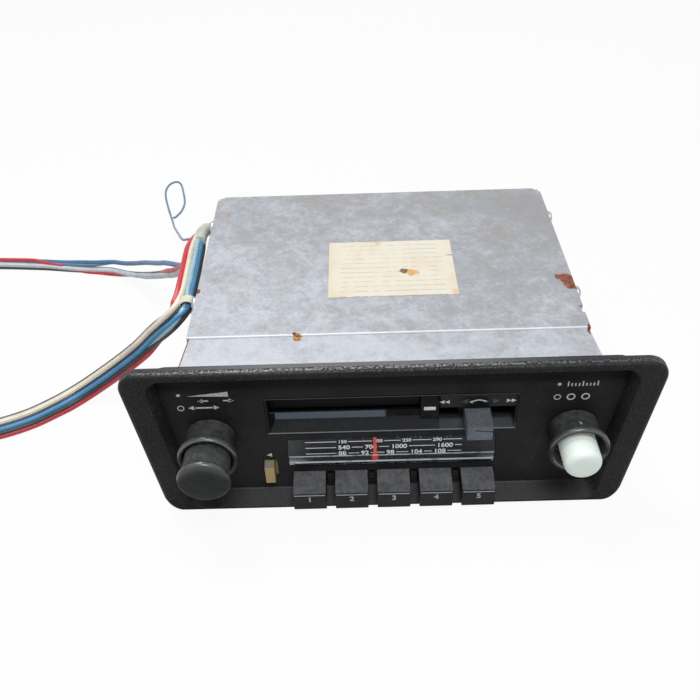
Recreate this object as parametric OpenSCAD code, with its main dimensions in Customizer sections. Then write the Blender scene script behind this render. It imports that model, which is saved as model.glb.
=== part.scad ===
// Car cassette radio with a wide trapezoid fascia, five preset keys and a slide-in tape slot.
// Millimetres. +Z up, the fascia faces -Y, the radio stands on z = 0, centred in x and y.

/* [Chassis] */
// Width of the chassis over its covers
chassis_w = 178; // [174:1:190]
// Height of the chassis over its covers
chassis_h = 66; // [65:0.5:72]
// Depth of the chassis from the front plate to the rear panel
chassis_d = 157; // [150:1:190]
// Thickness of the frame's steel sheet
sheet = 1.2; // [0.8:0.1:1.6]
// Thickness of the top and bottom covers
cover_t = 0.8; // [0.5:0.1:1.2]
// Length of the low strip in front of the top cover
strip_d = 32.5; // [22:0.5:40]
// Drop of the top cover's side flanges
lid_flange = 7; // [6:0.5:7.5]
// Rise of the bottom cover's side flanges
floor_flange = 9; // [7:0.5:12]
// Flare of the front plate and its strip on each side
strip_flare = 2; // [0.5:0.1:3]
// Chamfer of the top cover's rear corners
lid_chamfer = 4; // [1:0.5:8]
// Reach of the rear stud behind the rear panel
rear_reach = 14; // [13:0.5:20]

/* [Fascia] */
// Width of the fascia along its top edge
fascia_top_w = 222; // [214:1:230]
// Width of the fascia along its bottom edge
fascia_bottom_w = 204; // [196:1:212]
// Height of the fascia
fascia_h = 80; // [78:1:90]
// Radius of the fascia's corners
fascia_r = 9; // [6:0.5:14]
// Wall thickness of the moulding
fascia_t = 2.5; // [1.8:0.1:3]
// Depth of the outer rim from front to back
rim_depth = 5; // [4:0.5:5.5]
// Depth of the panel behind the front of the rim
recess = 6; // [5:0.5:8]
// Width of the rim on the left and right
side_rim = 11.5; // [8:0.5:14]
// Width of the rim along the top
top_rim = 3.6; // [2.5:0.1:5]
// Height of the crease where the sloping chin meets the panel
crease_z = 6; // [5:0.1:6]
// Thickness of the chin's lower lip
chin_lip = 1.5; // [1:0.1:3]
// Reach of the chin's lower lip in front of the rim
chin_reach = 1.6; // [1:0.1:2]

/* [Rotary controls] */
// Height of the control shafts
knob_z = 40; // [38:0.5:42]
// Diameter of a ring knob at the panel
ring_base_d = 21.5; // [20:0.5:23]
// Diameter of a ring knob at its flared front
ring_rim_d = 25.5; // [24:0.5:28]
// Reach of a ring knob in front of the panel
ring_reach = 14.5; // [13:0.5:16]
// Diameter of the volume knob's cap
volume_d = 22; // [21:0.5:25]
// Diameter of the volume knob's knurled neck
neck_d = 19.5; // [17:0.5:19.5]
// Reach of the volume knob in front of the panel
volume_reach = 27.5; // [26:0.5:32]
// Diameter of the bare tuning shaft
tuning_d = 15.5; // [12:0.5:17]
// Reach of the tuning shaft in front of the panel
tuning_reach = 23.5; // [20:0.5:26]
// Diameter of the inner control shafts
shaft_d = 5; // [4:0.1:5.4]
// Outer diameter of the tubes that carry the ring knobs
tube_d = 8; // [7.4:0.1:8.4]
// Diameter of the threaded bushings
bushing_d = 10.4; // [10:0.1:11]
// Diameter of the control bodies behind the front plate
control_d = 19; // [16:0.5:19]
// Depth of the control bodies
control_d_len = 19.3; // [18:0.1:20]
// Push and pull travel of the volume knob each way
volume_travel = 2.5; // [1:0.5:2.5]

/* [Cassette slot] */
// Height of the slot surround's lower edge
slot_z = 39.5; // [39.3:0.1:39.7]
// Height of the slot surround
slot_h = 21.5; // [21.3:0.1:21.5]
// Width of the opening for the cassette
mouth_w = 64.5; // [64.2:0.1:64.8]
// Height of the opening for the cassette
mouth_h = 12.7; // [12.4:0.1:12.8]
// Width of the block between the cassette opening and the lever
block_w = 7.6; // [6:0.1:10]
// Wall thickness of the slot surround
tray_wall = 1; // [0.8:0.1:1.2]
// Depth of the slot surround behind the panel
tray_d = 7; // [6.5:0.1:7.5]
// Thickness of the cassette door
door_t = 1.4; // [1:0.1:1.8]
// Diameter of the cassette door's hinge pins
door_pin_d = 2; // [1.6:0.1:2.2]

/* [Transport lever] */
// Width of the lever's grip
lever_w = 10.6; // [9:0.1:11]
// Reach of the lever in front of the panel
lever_reach = 10; // [8:0.5:12]
// Height of the lever's grip
lever_h = 7.4; // [6.5:0.1:7.6]
// Travel of the lever each way
lever_travel = 9.5; // [6:0.5:9.5]

/* [Dial] */
// Width of the dial window
dial_w = 90; // [86:0.5:90]
// Height of the dial window's lower edge
dial_z = 20; // [19.8:0.1:20.4]
// Height of the dial window
dial_h = 16.5; // [15.5:0.1:16.6]
// Thickness of the scale plate
scale_t = 1; // [0.8:0.1:1.5]
// Place of the pointer at rest
pointer_x = -7; // [-20:0.5:10]
// Diameter of the pointer's rail
rail_d = 2; // [1.6:0.1:2.2]

/* [Keys] */
// Number of preset keys
key_count = 5; // [5]
// Spacing of the preset keys
key_pitch = 18.6; // [18.4:0.1:19.2]
// Width of a preset key
key_w = 14.6; // [13:0.1:14.8]
// Middle of the row of preset keys
key_x = 0.8; // [0:0.1:1.2]
// Reach of a preset key in front of the panel
key_reach = 11; // [10:0.5:12]
// Height of a preset key's top at the panel
key_top = 15.8; // [15:0.1:16]
// Height of a preset key's front edge
key_edge = 13.3; // [12:0.1:13.8]
// Width of a preset key's plunger
plunger_w = 6; // [5:0.1:7]
// Middle of the reverse button
rev_x = -53.75; // [-54.25:0.05:-53.5]
// Width of the reverse button
rev_w = 4.3; // [3.8:0.1:4.6]
// Height of the reverse button
rev_h = 11.8; // [9:0.1:12.4]
// Reach of the reverse button in front of the panel
rev_reach = 3; // [2.5:0.1:4]

/* [Tape deck] */
// Height of the deck plate's underside
deck_z = 38; // [37.9:0.1:38.2]
// Thickness of the deck plate
deck_t = 1.5; // [1.2:0.1:1.6]
// Distance between the reel spindles
reel_pitch = 42.5; // [42:0.1:43]
// Distance between the capstans
capstan_pitch = 66; // [65:0.5:66.5]
// Diameter of a capstan
capstan_d = 2; // [1.8:0.1:2.2]
// Diameter of a flywheel
flywheel_d = 30; // [28:0.1:30.2]
// Diameter of the motor
motor_d = 30; // [26:0.5:31]
// Diameter of the motor pulley
pulley_d = 10; // [8:0.5:10.4]
// Thickness of the drive belt
belt_t = 1; // [0.8:0.1:1.1]
// Diameter of a pinch roller
pinch_d = 10; // [9:0.1:10.2]
// Travel of the head plate
head_travel = 8; // [6:0.1:8]
// Drop of the cassette cradle
cradle_drop = 4.4; // [3:0.1:4.4]

/* [Label and harness] */
// Width of the paper label
label_w = 63; // [50:1:70]
// Depth of the paper label
label_d = 47; // [35:1:55]
// Diameter of the main wire bundle
bundle_d = 8; // [7:0.5:8]
// Diameter of the branch of wires
branch_d = 6; // [5:0.5:6]
// Diameter of the looped single wire
wire_d = 1.8; // [1.6:0.1:2]

/* [Fits] */
// Radial clearance of a shaft that turns or slides in its bore
running = 0.05; // [0.03:0.01:0.08]
// Clearance between a moulded piece and the opening it sits in
seat_gap = 0.15; // [0.1:0.05:0.25]
// Clearance between neighbouring pieces that move
move_gap = 0.4; // [0.3:0.05:0.4]

/* [Hidden] */
$fn = 64;

// Lines from front to back
overall_d = volume_reach + fascia_t + chassis_d + rear_reach;
tip_y = -overall_d / 2;
panel_y = tip_y + volume_reach;
rim_y = panel_y - recess;
front_y = panel_y + fascia_t;
inside_y = front_y + sheet;
back_y = front_y + chassis_d;
lid_y = front_y + strip_d;

// Lines across and up the chassis
frame_x = chassis_w / 2 - cover_t;
inner_x = frame_x - sheet;
lid_z = chassis_h - cover_t;
over = 1;
front_x = chassis_w / 2 + strip_flare;
strip_lap = 4;
lid_notch_y = lid_y + 11;
lid_notch_w = 5;
lid_notch_h = 3;

// Window in the front plate behind the slot, dial and keys
nose_x = -rev_x + rev_w / 2 + 2.2;
nose_z = crease_z - 1.5;
nose_top = slot_z + slot_h + 1;

// Fasteners
screw_head_d = 7;
screw_head_h = 2.4;
screw_d = 2.8;
screw_len = 4;
screw_inset_front = 30;
screw_inset_rear = 26;
screw_ys = [lid_y + screw_inset_front, back_y - screw_inset_rear];
screw_slot_w = 1;
screw_slot_depth = 1;
lid_screw_z = chassis_h - lid_flange / 2;
floor_screw_z = floor_flange / 2 + cover_t / 2;

// Tapped side bosses for mounting brackets
boss_ys = [-20, 40];
boss_z = 30;
boss_d = 10;
boss_len = 4;
tap_d = 4.2;

// Rear fittings
sink_x = 10;
sink_w = 70;
sink_z = 12;
sink_h = 44;
sink_base = 3;
sink_reach = 12;
fin_t = 1.6;
fin_count = 10;
stud_d = 5;
stud_x = -15;
stud_z = 33;
stud_flange_d = 9.2;
stud_nut_t = 3;
antenna_x = -45;
antenna_z = 40;
antenna_d = 11;
antenna_bore = 8.3;
antenna_reach = 12;
antenna_flange_d = 16;
antenna_flange_t = 1.5;
grommet_y = back_y - 8.5;
grommet_z = 50;
grommet_hole_d = 12;
grommet_flange_d = 14;
grommet_flange_t = 2.3;

// Slot surround
lever_end_gap = 1;
transport_w = lever_w + 2 * (lever_travel + lever_end_gap);
slot_w = mouth_w + block_w + transport_w + 2 * tray_wall + 2 * seat_gap;
tray_front_x = slot_w / 2 - seat_gap;
tray_y = panel_y + tray_d;
tray_flange_t = sheet + 0.3;
tray_flange_w = 2;
mouth_x0 = -tray_front_x + tray_wall;
mouth_x1 = mouth_x0 + mouth_w;
mouth_top = slot_z + slot_h - tray_wall + seat_gap;
lip_z = mouth_top - mouth_h;
lip_y = panel_y + tray_d - 1.5;
ramp_z = slot_z + tray_wall;
lip_h = 3.55;
ramp_top = lip_z - lip_h;
cheek = 2.35;
transport_x1 = tray_front_x - tray_wall;
transport_x0 = transport_x1 - transport_w;
transport_ledge = slot_z + 3.7;
transport_top = slot_z + 13.9;
plate_t = 1;
plate_proud = 0.4;
block_setback = 4;
block_y = panel_y + block_setback;
block_foot = ramp_z + (ramp_top - ramp_z) * block_setback / (lip_y - panel_y);
tray_flange_low = 1.6;
tray_flange_high = 0.9;
ledge_d = 3.5;
rail_t = 1.5;
track_d = 4;
door_pin_len = 2.6;
ear_t = 2.5;
ear_gap = 0.3;
ear_half = 2;
door_barrel_r = 1.3;
door_y = tray_y + door_barrel_r + move_gap;
door_z = mouth_top + door_barrel_r - seat_gap - 0.35;
indicator_inset = 1.25;
indicator_w = block_w - 2 * indicator_inset;
indicator_h = 2.4;
indicator_z = slot_z + 8.7;
indicator_t = 0.6;

// Transport lever and its carriage
lever_x = (transport_x0 + transport_x1) / 2;
carriage_w = 14;
carriage_t = 3;
carriage_y = tray_y + 0.3;
carriage_z0 = slot_z + 2.7;
carriage_h = 12;
stem_w = 5.6;
stem_h = 5;
stem_z = slot_z + 5.5;
stem_back = carriage_y + carriage_t + 3.2;
lever_z = transport_ledge + 0.5;
lever_back = carriage_y - 4.3;
lever_toe = 1.6;
lever_crown = 0.6;

// Dial
lens_flange = 1;
lens_flange_t = 1;
lens_proud = 1.6;
lens_seat = 0.5;
lens_brow = 0.2;
lens_crest = 3.3;
lens_toe = 1.8;
lens_z0 = dial_z + seat_gap;
lens_z1 = dial_z + dial_h - seat_gap;
lens_x = dial_w / 2 - seat_gap;
scale_depth = 4;
scale_y = front_y + scale_depth;
scale_x = dial_w / 2 + lens_flange;
scale_wall = 1.2;
scale_z0 = dial_z - 1.3;
scale_z1 = dial_z + dial_h + 1;
rail_stand = 2.5;
rail_y = scale_y + scale_t + rail_stand;
rail_z = dial_z - 0.2;
pointer_w = 1.4;
pointer_y = front_y + lens_flange_t + 0.9;
pointer_t = 0.8;
pointer_top = dial_z + dial_h - 1.5;
pointer_foot = key_top + 0.9;
pointer_foot_t = 1.2;
slider_w = 8;
slider_half = 1.5;
lamp_x = 30;
lamp_z = dial_z + 10;
lamp_d = 5;
lamp_len = 9;
lamp_base = 2;
lamp_stand = 3.4;

// Keys
key_xs = [for (i = [0:key_count - 1]) key_x + (i - (key_count - 1) / 2) * key_pitch];
key_fit = 0.4;
key_base = crease_z + key_fit;
key_drop = 4.1;
key_toe = 4;
key_back = front_y + 4.5;
plunger_z = 9;
plunger_t = 3;
plunger_back = -38;
rev_z = dial_z + 4 - rev_h;
rev_gap = 1.2;
rev_fit = 0.3;
rev_bevel = 2.9;
rev_top_drop = 1.7;
rev_back = front_y + 4.5;
rev_flange = 1;
rev_flange_t = 1.4;

// Rotary controls
control_gap = 0.5;
knob_x = inner_x - control_d / 2 - control_gap;
tube_r = tube_d / 2;
shaft_r = shaft_d / 2;
bushing_front = panel_y - 1.6;
control_back = inside_y + control_d_len;
tube_back = inside_y + 11;
ring_base_y = panel_y - 0.6;
ring_front = panel_y - ring_reach;
ring_cavity_d = neck_d + 1.1;
ring_web_y = panel_y - 5.5;
ring_web_t = 2.5;
tube_front = ring_web_y - 0.5;
ring_back_d = 17;
ring_neck = 6.5;
ring_flare = 3;
ring_crest = 1.6;
ring_round = 0.6;
cap_dome = 0.15;
cap_face = 0.5;
cap_edge = 1.5;
cap_round = 0.6;
neck_back = ring_web_y - 2 - volume_travel;
cap_back = tip_y + 3.8;
shaft_front = tip_y + 4.5;
selector_y = control_back + volume_travel + 2;
selector_t = 3;
selector_d = 12;
shaft_back = selector_y + selector_t + 0.5;
tuning_front = panel_y - tuning_reach;
tuning_step = ring_web_y - 1.5;
tuning_round = 3;
tuning_back = control_back - 2;

// Board and tuner
floor_z = cover_t;
board_gap = 5;
board_x0 = board_gap - inner_x;
board_x1 = 60;
board_y0 = -10;
board_y1 = back_y - 6.5;
board_z = 5;
board_t = 1.6;
post_d = 5;
post_inset = 6;
board_posts = [for (x = [board_x0 + post_inset, board_x1 - post_inset],
                    y = [board_y0 + post_inset, board_y1 - post_inset]) [x, y]];
big_cans = [[-62, 30], [-62, 52]];
big_can_d = 16;
big_can_h = 17;
small_cans = [[-40, 20], [-40, 34], [-20, 62]];
small_can_d = 8;
small_can_h = 11;
amp_x = -8;
amp_w = 32;
amp_t = 5;
amp_h = 17;
amp_inset = 2;
chip_x = -14;
chip_ys = [4, 20, 36];
chip_w = 10;
chip_d = 9;
chip_h = 4.5;
tuner_x = 48;
tuner_y0 = front_y + 14.5;
tuner_y1 = -16;
tuner_top = 26;
tuner_wall = 1;
core_d = 4;
core_xs = [-20, 0, 20];
core_z = 16;
core_bar_y = -26;
core_bar_t = 3;
core_bar_h = 6;
core_bar_half = 30;
core_tip = -6;
former_d = 8;
former_back = -1;

// Tape deck
deck_top = deck_z + deck_t;
deck_x0 = -57;
deck_x1 = 60;
deck_y0 = -60;
deck_y1 = 56;
wing_y0 = 10;
wing_y1 = 50;
tape_y = -12;
tape_edge = mouth_x1 - 0.4;
reel_inset = 33;
capstan_inset = 8;
reel_x = tape_edge - reel_inset;
capstan_x = tape_edge - capstan_inset;
reel_front_y = tape_y - reel_pitch / 2;
reel_rear_y = tape_y + reel_pitch / 2;
capstan_front_y = tape_y - capstan_pitch / 2;
capstan_rear_y = tape_y + capstan_pitch / 2;
capstan_top = lip_z - 0.5;
bearing_d = 8;
bearing_len = 4;
flywheel_z = 28.5;
flywheel_t = 5;
belt_h = 3;
belt_z = flywheel_z + (flywheel_t - belt_h) / 2;
belt_gap = 0.3;
motor_offset_x = 27.5;
motor_offset_y = 5;
motor_x = capstan_x + motor_offset_x;
motor_y = capstan_rear_y + motor_offset_y;
motor_z = 7.5;
motor_top = flywheel_z - 1.2;
motor_post_ring = 12;
motor_post_d = 4;
motor_post_angles = [30, 90, 150];
pulley_shaft_d = 2;
pulley_shaft_depth = 8;
reel_shaft_d = 3;
reel_hub_d = 9;
reel_hub_top = lip_z - 0.5;
reel_gear_d = 22;
reel_gear_t = 2.5;
reel_gear_z = deck_z - 3.2;
reel_spline_t = 1;
cradle_t = 0.8;
cradle_x0 = mouth_x0 - 0.4 - cradle_t;
cradle_x1 = mouth_x1 + 0.3;
cradle_y0 = -49;
cradle_y1 = 38;
cradle_top = mouth_top + 0.4;
cradle_floor = deck_top + cradle_drop + 2.5;
cradle_lip = 3;
cradle_arms = [[-37, -22], [-2, 13], [29, cradle_y1]];
guide_t = 1.6;
guide_gap = 0.3;
guide_y0 = -30;
guide_y1 = 34;
guide_top = 58;
pinch_x = capstan_x + capstan_d / 2 + move_gap + head_travel + pinch_d / 2;
head_x = pinch_x - 2.5;
head_w = 16;
head_y0 = capstan_front_y - 8;
head_y1 = capstan_rear_y + 8;
head_z = deck_top + 0.2;
head_t = 1.5;
pinch_z = head_z + head_t + 1.8;
pinch_h = 8;
pinch_post_d = 2.4;
tape_head_w = 9.5;
tape_head_d = 12;
tape_head_h = 11;

// Paper label on the top cover
label_x = 4;
label_y = 12.5;
label_t = 0.2;

// Cable clip on the left side
clip_y = 2;
clip_half = 4;
clip_reach = 9.8;
clip_x = -frame_x - clip_reach;
clip_foot = 3.4;
clip_z = 55;
clip_t = 1.3;
clip_gap = 0.3;
clip_tab_z = 38;
clip_tab_t = 1.5;

// Routes of the wires, from the radio outwards
main_route = [
  [-90.7, 78, 50], [-94.5, 77.5, 51], [-97.5, 73, 53.5], [-98.5, 62, 56.5], [-97.5, 45, 58.5],
  [-97, 28, 58.5], [-97, 14, 57.5], [-98, 2, 55], [-102, -4, 52], [-107.5, -5, 47], [-114, -4.5, 40.7],
  [-122.5, -4, 32], [-133, -3, 22.8], [-144, -3, 14.4], [-154, -4.5, 8], [-162.5, -9, 5],
  [-169.5, -14.5, 4.3], [-179, -21.8, 4.2], [-190, -27.5, 4.2], [-200, -31, 4.2]
];
branch_route = [
  [-101.5, 32, 57.5], [-108, 41, 50.5], [-117, 54, 41.5], [-126, 67, 32.5], [-136, 81, 23],
  [-146, 93, 14.8], [-155, 102, 9], [-164, 109, 5.5], [-174, 113, 3.7], [-186, 115, 3.2],
  [-198.5, 117, 3.2], [-211, 119, 3.2], [-223.5, 120.3, 3.2], [-236, 121.2, 3.2], [-249, 122, 3.2]
];
loop_route = [
  [-101.3, 64.8, 53.1], [-106, 69, 50.4], [-110.3, 75, 46.5], [-115.2, 89.2, 39.5], [-120.6, 107, 31],
  [-126.6, 127, 21], [-133.4, 150, 10], [-139, 170, 3], [-145, 189, 1.3], [-149.8, 206, 1.2],
  [-151.3, 217, 1.2], [-149.8, 225, 1.2], [-146, 228.6, 1.2], [-141.8, 225, 1.2], [-138, 212, 1.2],
  [-134.8, 197, 1.2], [-135.3, 186, 1.2], [-138, 178, 1.2]
];
connector_len = 24;
connector_w = 16;
connector_h = 9;
branch_connector_len = 20;
branch_connector_w = 12;
branch_connector_h = 7.5;

// Half width of the fascia's outline at a height
function fascia_half(z) =
  fascia_bottom_w / 2 + (fascia_top_w - fascia_bottom_w) / 2 * z / fascia_h;

// A trapezoid that follows the fascia's sides at an inset, between two heights
function trapezoid(inset, z0, z1) = [
  [-(fascia_half(z0) - inset), z0], [fascia_half(z0) - inset, z0],
  [fascia_half(z1) - inset, z1], [-(fascia_half(z1) - inset), z1]
];

function unit(v) = v / norm(v);

// The arc that rounds the corner b between a and c
function corner_arc(a, b, c, r, steps) =
  let (
    u = unit(a - b),
    v = unit(c - b),
    half = acos(u * v) / 2,
    centre = b + unit(u + v) * r / sin(half),
    start = b + u * r / tan(half) - centre,
    angle = atan2(start[1], start[0]),
    sweep = 180 - 2 * half
  )
  [for (i = [0:steps]) centre + r * [cos(angle + sweep * i / steps), sin(angle + sweep * i / steps)]];

// A counter-clockwise outline with every corner rounded
function rounded(points, r, steps = 8) =
  let (n = len(points))
  [for (i = [0:n - 1]) each corner_arc(points[(i + n - 1) % n], points[i], points[(i + 1) % n], r, steps)];

// Outlines of the fascia, of its recess at the rim and of the panel at the bottom of the recess
panel_slope = 2.5;
panel_top_slope = 1.4;
recess_r = 6.5;
panel_r = 5;
outer_outline = rounded(trapezoid(0, 0, fascia_h), fascia_r);
recess_outline = rounded(trapezoid(side_rim, chin_lip, fascia_h - top_rim), recess_r);
panel_outline = rounded(trapezoid(side_rim + panel_slope, crease_z, fascia_h - top_rim - panel_top_slope),
                        panel_r);
dish_outline = rounded(trapezoid(side_rim + panel_slope - fascia_t, crease_z - fascia_t,
                                 fascia_h - top_rim - panel_top_slope + fascia_t), panel_r + fascia_t);
chin_edge = trapezoid(fascia_r, 0, chin_lip / 5);
chin_foot = trapezoid(fascia_r - 1, 0, chin_lip);
hollow_outline = rounded(trapezoid(fascia_t, fascia_t, fascia_h - 1.6), fascia_r - fascia_t);

// A shape in x and z, from one y to another
module along_y(y0, y1) translate([0, y1, 0]) rotate([90, 0, 0]) linear_extrude(y1 - y0) children();

// A shape in y and z, from one x to another
module along_x(x0, x1) translate([x0, 0, 0]) rotate([90, 0, 90]) linear_extrude(x1 - x0) children();

// A box between two corners
module box(a, b) translate(a) cube(b - a);

// A profile of radius and y, turned about a control shaft's axis
module turned(x, z, profile) translate([x, 0, z]) rotate([-90, 0, 0]) rotate_extrude() polygon(profile);

// A round bar along y, along x or along z
module bar_y(x, z, d, y0, y1) translate([x, y0, z]) rotate([-90, 0, 0]) cylinder(d = d, h = y1 - y0);
module bar_x(y, z, d, x0, x1) translate([x0, y, z]) rotate([0, 90, 0]) cylinder(d = d, h = x1 - x0);
module bar_z(x, y, d, z0, z1) translate([x, y, z0]) cylinder(d = d, h = z1 - z0);

// A solid between two outlines of equal length that lie at two y planes
module loft(front, y0, back, y1) {
  n = len(front);
  points = [for (p = front) [p[0], y0, p[1]], for (p = back) [p[0], y1, p[1]]];
  sides = [for (i = [0:n - 1]) let (j = (i + 1) % n) each [[i, j, n + j], [i, n + j, n + i]]];
  polyhedron(points, concat([[for (i = [n - 1:-1:0]) i]], [[for (i = [0:n - 1]) n + i]], sides));
}

// Direction of a route at one of its points
function heading(route, i) =
  i == 0 ? unit(route[1] - route[0])
  : i == len(route) - 1 ? unit(route[i] - route[i - 1])
  : unit(unit(route[i + 1] - route[i]) + unit(route[i] - route[i - 1]));

// Ring of points round a route
function ring_at(route, i, r, sides) =
  let (t = heading(route, i), across = unit(cross(t, [0, 0, 1])), up = cross(across, t))
  [for (k = [0:sides - 1]) route[i] + r * (cos(360 * k / sides) * across + sin(360 * k / sides) * up)];

// A tube that follows a route
module tube(route, d, sides = 8) {
  n = len(route);
  points = [for (i = [0:n - 1]) each ring_at(route, i, d / 2, sides)];
  skin = [for (i = [0:n - 2], k = [0:sides - 1])
            let (a = i * sides + k, b = i * sides + (k + 1) % sides)
            each [[a, b, b + sides], [a, b + sides, a + sides]]];
  caps = [[for (k = [sides - 1:-1:0]) k], [for (k = [0:sides - 1]) (n - 1) * sides + k]];
  polyhedron(points, concat(caps, skin));
}

// A block laid on the ground at the end of a route, in the route's direction
module end_block(route, length, width, height) {
  last = len(route) - 1;
  way = route[last] - route[last - 1];
  translate([route[last][0], route[last][1], 0]) rotate([0, 0, atan2(way[1], way[0])])
    translate([0, -width / 2, 0]) cube([length, width, height]);
}

// Steel frame: front plate, two side plates and the low strip behind the fascia
module chassis_frame() color("silver") difference() {
  union() {
    box([-front_x, front_y, floor_z], [front_x, inside_y, lid_z]);
    translate([0, 0, lid_z - sheet]) linear_extrude(sheet) polygon([
      [-front_x, front_y], [front_x, front_y],
      [frame_x, lid_y - seat_gap], [-frame_x, lid_y - seat_gap]]);
    for (s = [-1, 1]) {
      box([min(s * frame_x, s * inner_x), front_y, floor_z], [max(s * frame_x, s * inner_x), back_y, lid_z]);
      for (y = boss_ys)
        bar_x(y, boss_z, boss_d, min(s * inner_x, s * (inner_x - boss_len)),
              max(s * inner_x, s * (inner_x - boss_len)));
    }
    box([-inner_x, front_y, lid_z - sheet], [inner_x, lid_y + strip_lap, lid_z]);
  }
  box([-nose_x, front_y - over, nose_z], [nose_x, inside_y + over, nose_top]);
  for (s = [-1, 1]) {
    bar_y(s * knob_x, knob_z, bushing_d + 2 * seat_gap, front_y - over, inside_y + over);
    for (y = boss_ys)
      bar_x(y, boss_z, tap_d, s * inner_x - boss_len - over, s * inner_x + boss_len + over);
    for (y = screw_ys, z = [lid_screw_z, floor_screw_z])
      bar_x(y, z, screw_d + 2 * seat_gap, s * inner_x - 2 * over, s * inner_x + 2 * over);
  }
  bar_x(grommet_y, grommet_z, grommet_hole_d, -frame_x - over, -inner_x + over);
}

// Zinc-plated lid with short side flanges and a small slot in its right edge
module top_cover() color("lightsteelblue") difference() {
  union() {
    translate([0, 0, lid_z]) linear_extrude(cover_t) polygon([
      [-chassis_w / 2, lid_y], [chassis_w / 2, lid_y], [chassis_w / 2, back_y - lid_chamfer],
      [chassis_w / 2 - lid_chamfer, back_y], [-chassis_w / 2 + lid_chamfer, back_y],
      [-chassis_w / 2, back_y - lid_chamfer]]);
    for (s = [-1, 1])
      box([min(s * frame_x, s * chassis_w / 2), lid_y, chassis_h - lid_flange],
          [max(s * frame_x, s * chassis_w / 2), back_y - lid_chamfer, chassis_h - cover_t / 2]);
  }
  for (s = [-1, 1], y = screw_ys)
    bar_x(y, lid_screw_z, screw_d + 2 * seat_gap, s * frame_x - 2 * over, s * frame_x + 2 * over);
  box([frame_x - over, lid_notch_y, chassis_h - lid_notch_h],
      [chassis_w, lid_notch_y + lid_notch_w, chassis_h + over]);
}

// Flat bottom cover with side flanges and the posts that carry the board
module bottom_cover() color("lightslategray") {
  box([-chassis_w / 2, front_y, 0], [chassis_w / 2, back_y, cover_t]);
  difference() {
    for (s = [-1, 1])
      box([min(s * frame_x, s * chassis_w / 2), inside_y + seat_gap, 0],
          [max(s * frame_x, s * chassis_w / 2), back_y, floor_flange]);
    for (s = [-1, 1], y = screw_ys)
      bar_x(y, floor_screw_z, screw_d + 2 * seat_gap, s * frame_x - 2 * over, s * frame_x + 2 * over);
  }
  for (p = board_posts) bar_z(p[0], p[1], post_d, cover_t / 2, board_z);
}

// Rear panel between the side plates
module rear_panel() color("silver") difference() {
  box([-inner_x, back_y - sheet, floor_z], [inner_x, back_y, lid_z]);
  bar_y(stud_x, stud_z, stud_d + 2 * seat_gap, back_y - sheet - over, back_y + over);
  bar_y(antenna_x, antenna_z, antenna_d + 2 * seat_gap, back_y - sheet - over, back_y + over);
}

// Pan-head screws that hold both covers to the frame
module cover_screws() color("gray") for (s = [-1, 1], y = screw_ys, z = [lid_screw_z, floor_screw_z])
  translate([s * chassis_w / 2, y, z]) rotate([0, s * 90, 0]) difference() {
    union() {
      cylinder(d = screw_head_d, h = screw_head_h);
      translate([0, 0, -screw_len]) cylinder(d = screw_d, h = screw_len + over);
    }
    for (a = [0, 90])
      rotate(a) translate([-screw_head_d / 3, -screw_slot_w / 2, screw_head_h - screw_slot_depth])
        cube([screw_head_d * 2 / 3, screw_slot_w, screw_slot_depth + over]);
  }

// Finned aluminium heat sink on the rear panel
module heat_sink() color("dimgray") {
  box([sink_x, back_y, sink_z], [sink_x + sink_w, back_y + sink_base, sink_z + sink_h]);
  for (i = [0:fin_count - 1]) {
    x = sink_x + i * (sink_w - fin_t) / (fin_count - 1);
    box([x, back_y + sink_base - over, sink_z], [x + fin_t, back_y + sink_reach, sink_z + sink_h]);
  }
}

// Rear support stud with its flange inside the panel
module rear_stud() color("gold") {
  bar_y(stud_x, stud_z, stud_d, back_y - sheet - over, back_y + rear_reach);
  bar_y(stud_x, stud_z, stud_flange_d, back_y - sheet - 2.5, back_y - sheet);
  translate([stud_x, back_y, stud_z]) rotate([-90, 0, 0])
    cylinder(d = stud_flange_d, h = stud_nut_t, $fn = 6);
}

// Antenna socket with an open bore
module antenna_socket() color("lightgray") turned(antenna_x, antenna_z, [
  [0, back_y - 4], [antenna_d / 2, back_y - 4], [antenna_d / 2, back_y], [antenna_flange_d / 2, back_y],
  [antenna_flange_d / 2, back_y + antenna_flange_t], [antenna_d / 2, back_y + antenna_flange_t],
  [antenna_d / 2, back_y + antenna_reach], [antenna_bore / 2, back_y + antenna_reach],
  [antenna_bore / 2, back_y], [0, back_y]]);

// Rubber grommet in the left side plate
module harness_grommet() color("darkolivegreen") {
  bar_x(grommet_y, grommet_z, grommet_flange_d, -frame_x - grommet_flange_t, -frame_x);
  bar_x(grommet_y, grommet_z, grommet_hole_d - 2 * seat_gap, -frame_x - over, -inner_x + over);
  bar_x(grommet_y, grommet_z, grommet_flange_d, -inner_x, -inner_x + 1.5);
}

// Nylon clip that holds the wires against the left side
module cable_clip() color("wheat") difference() {
  union() {
    bar_y(clip_x, clip_z, bundle_d + 2 * clip_gap + 2 * clip_t, clip_y - clip_half, clip_y + clip_half);
    box([clip_x + bundle_d / 2, clip_y - clip_half, clip_z - clip_foot],
        [-frame_x, clip_y + clip_half, clip_z]);
    box([-frame_x - clip_tab_t, clip_y - clip_half, clip_tab_z], [-frame_x, clip_y + clip_half, clip_z]);
  }
  bar_y(clip_x, clip_z, bundle_d + 2 * clip_gap, clip_y - clip_half - over, clip_y + clip_half + over);
}

// Blank paper label
module rating_label() color("wheat")
  box([label_x - label_w / 2, label_y - label_d / 2, chassis_h],
      [label_x + label_w / 2, label_y + label_d / 2, chassis_h + label_t]);

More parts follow.
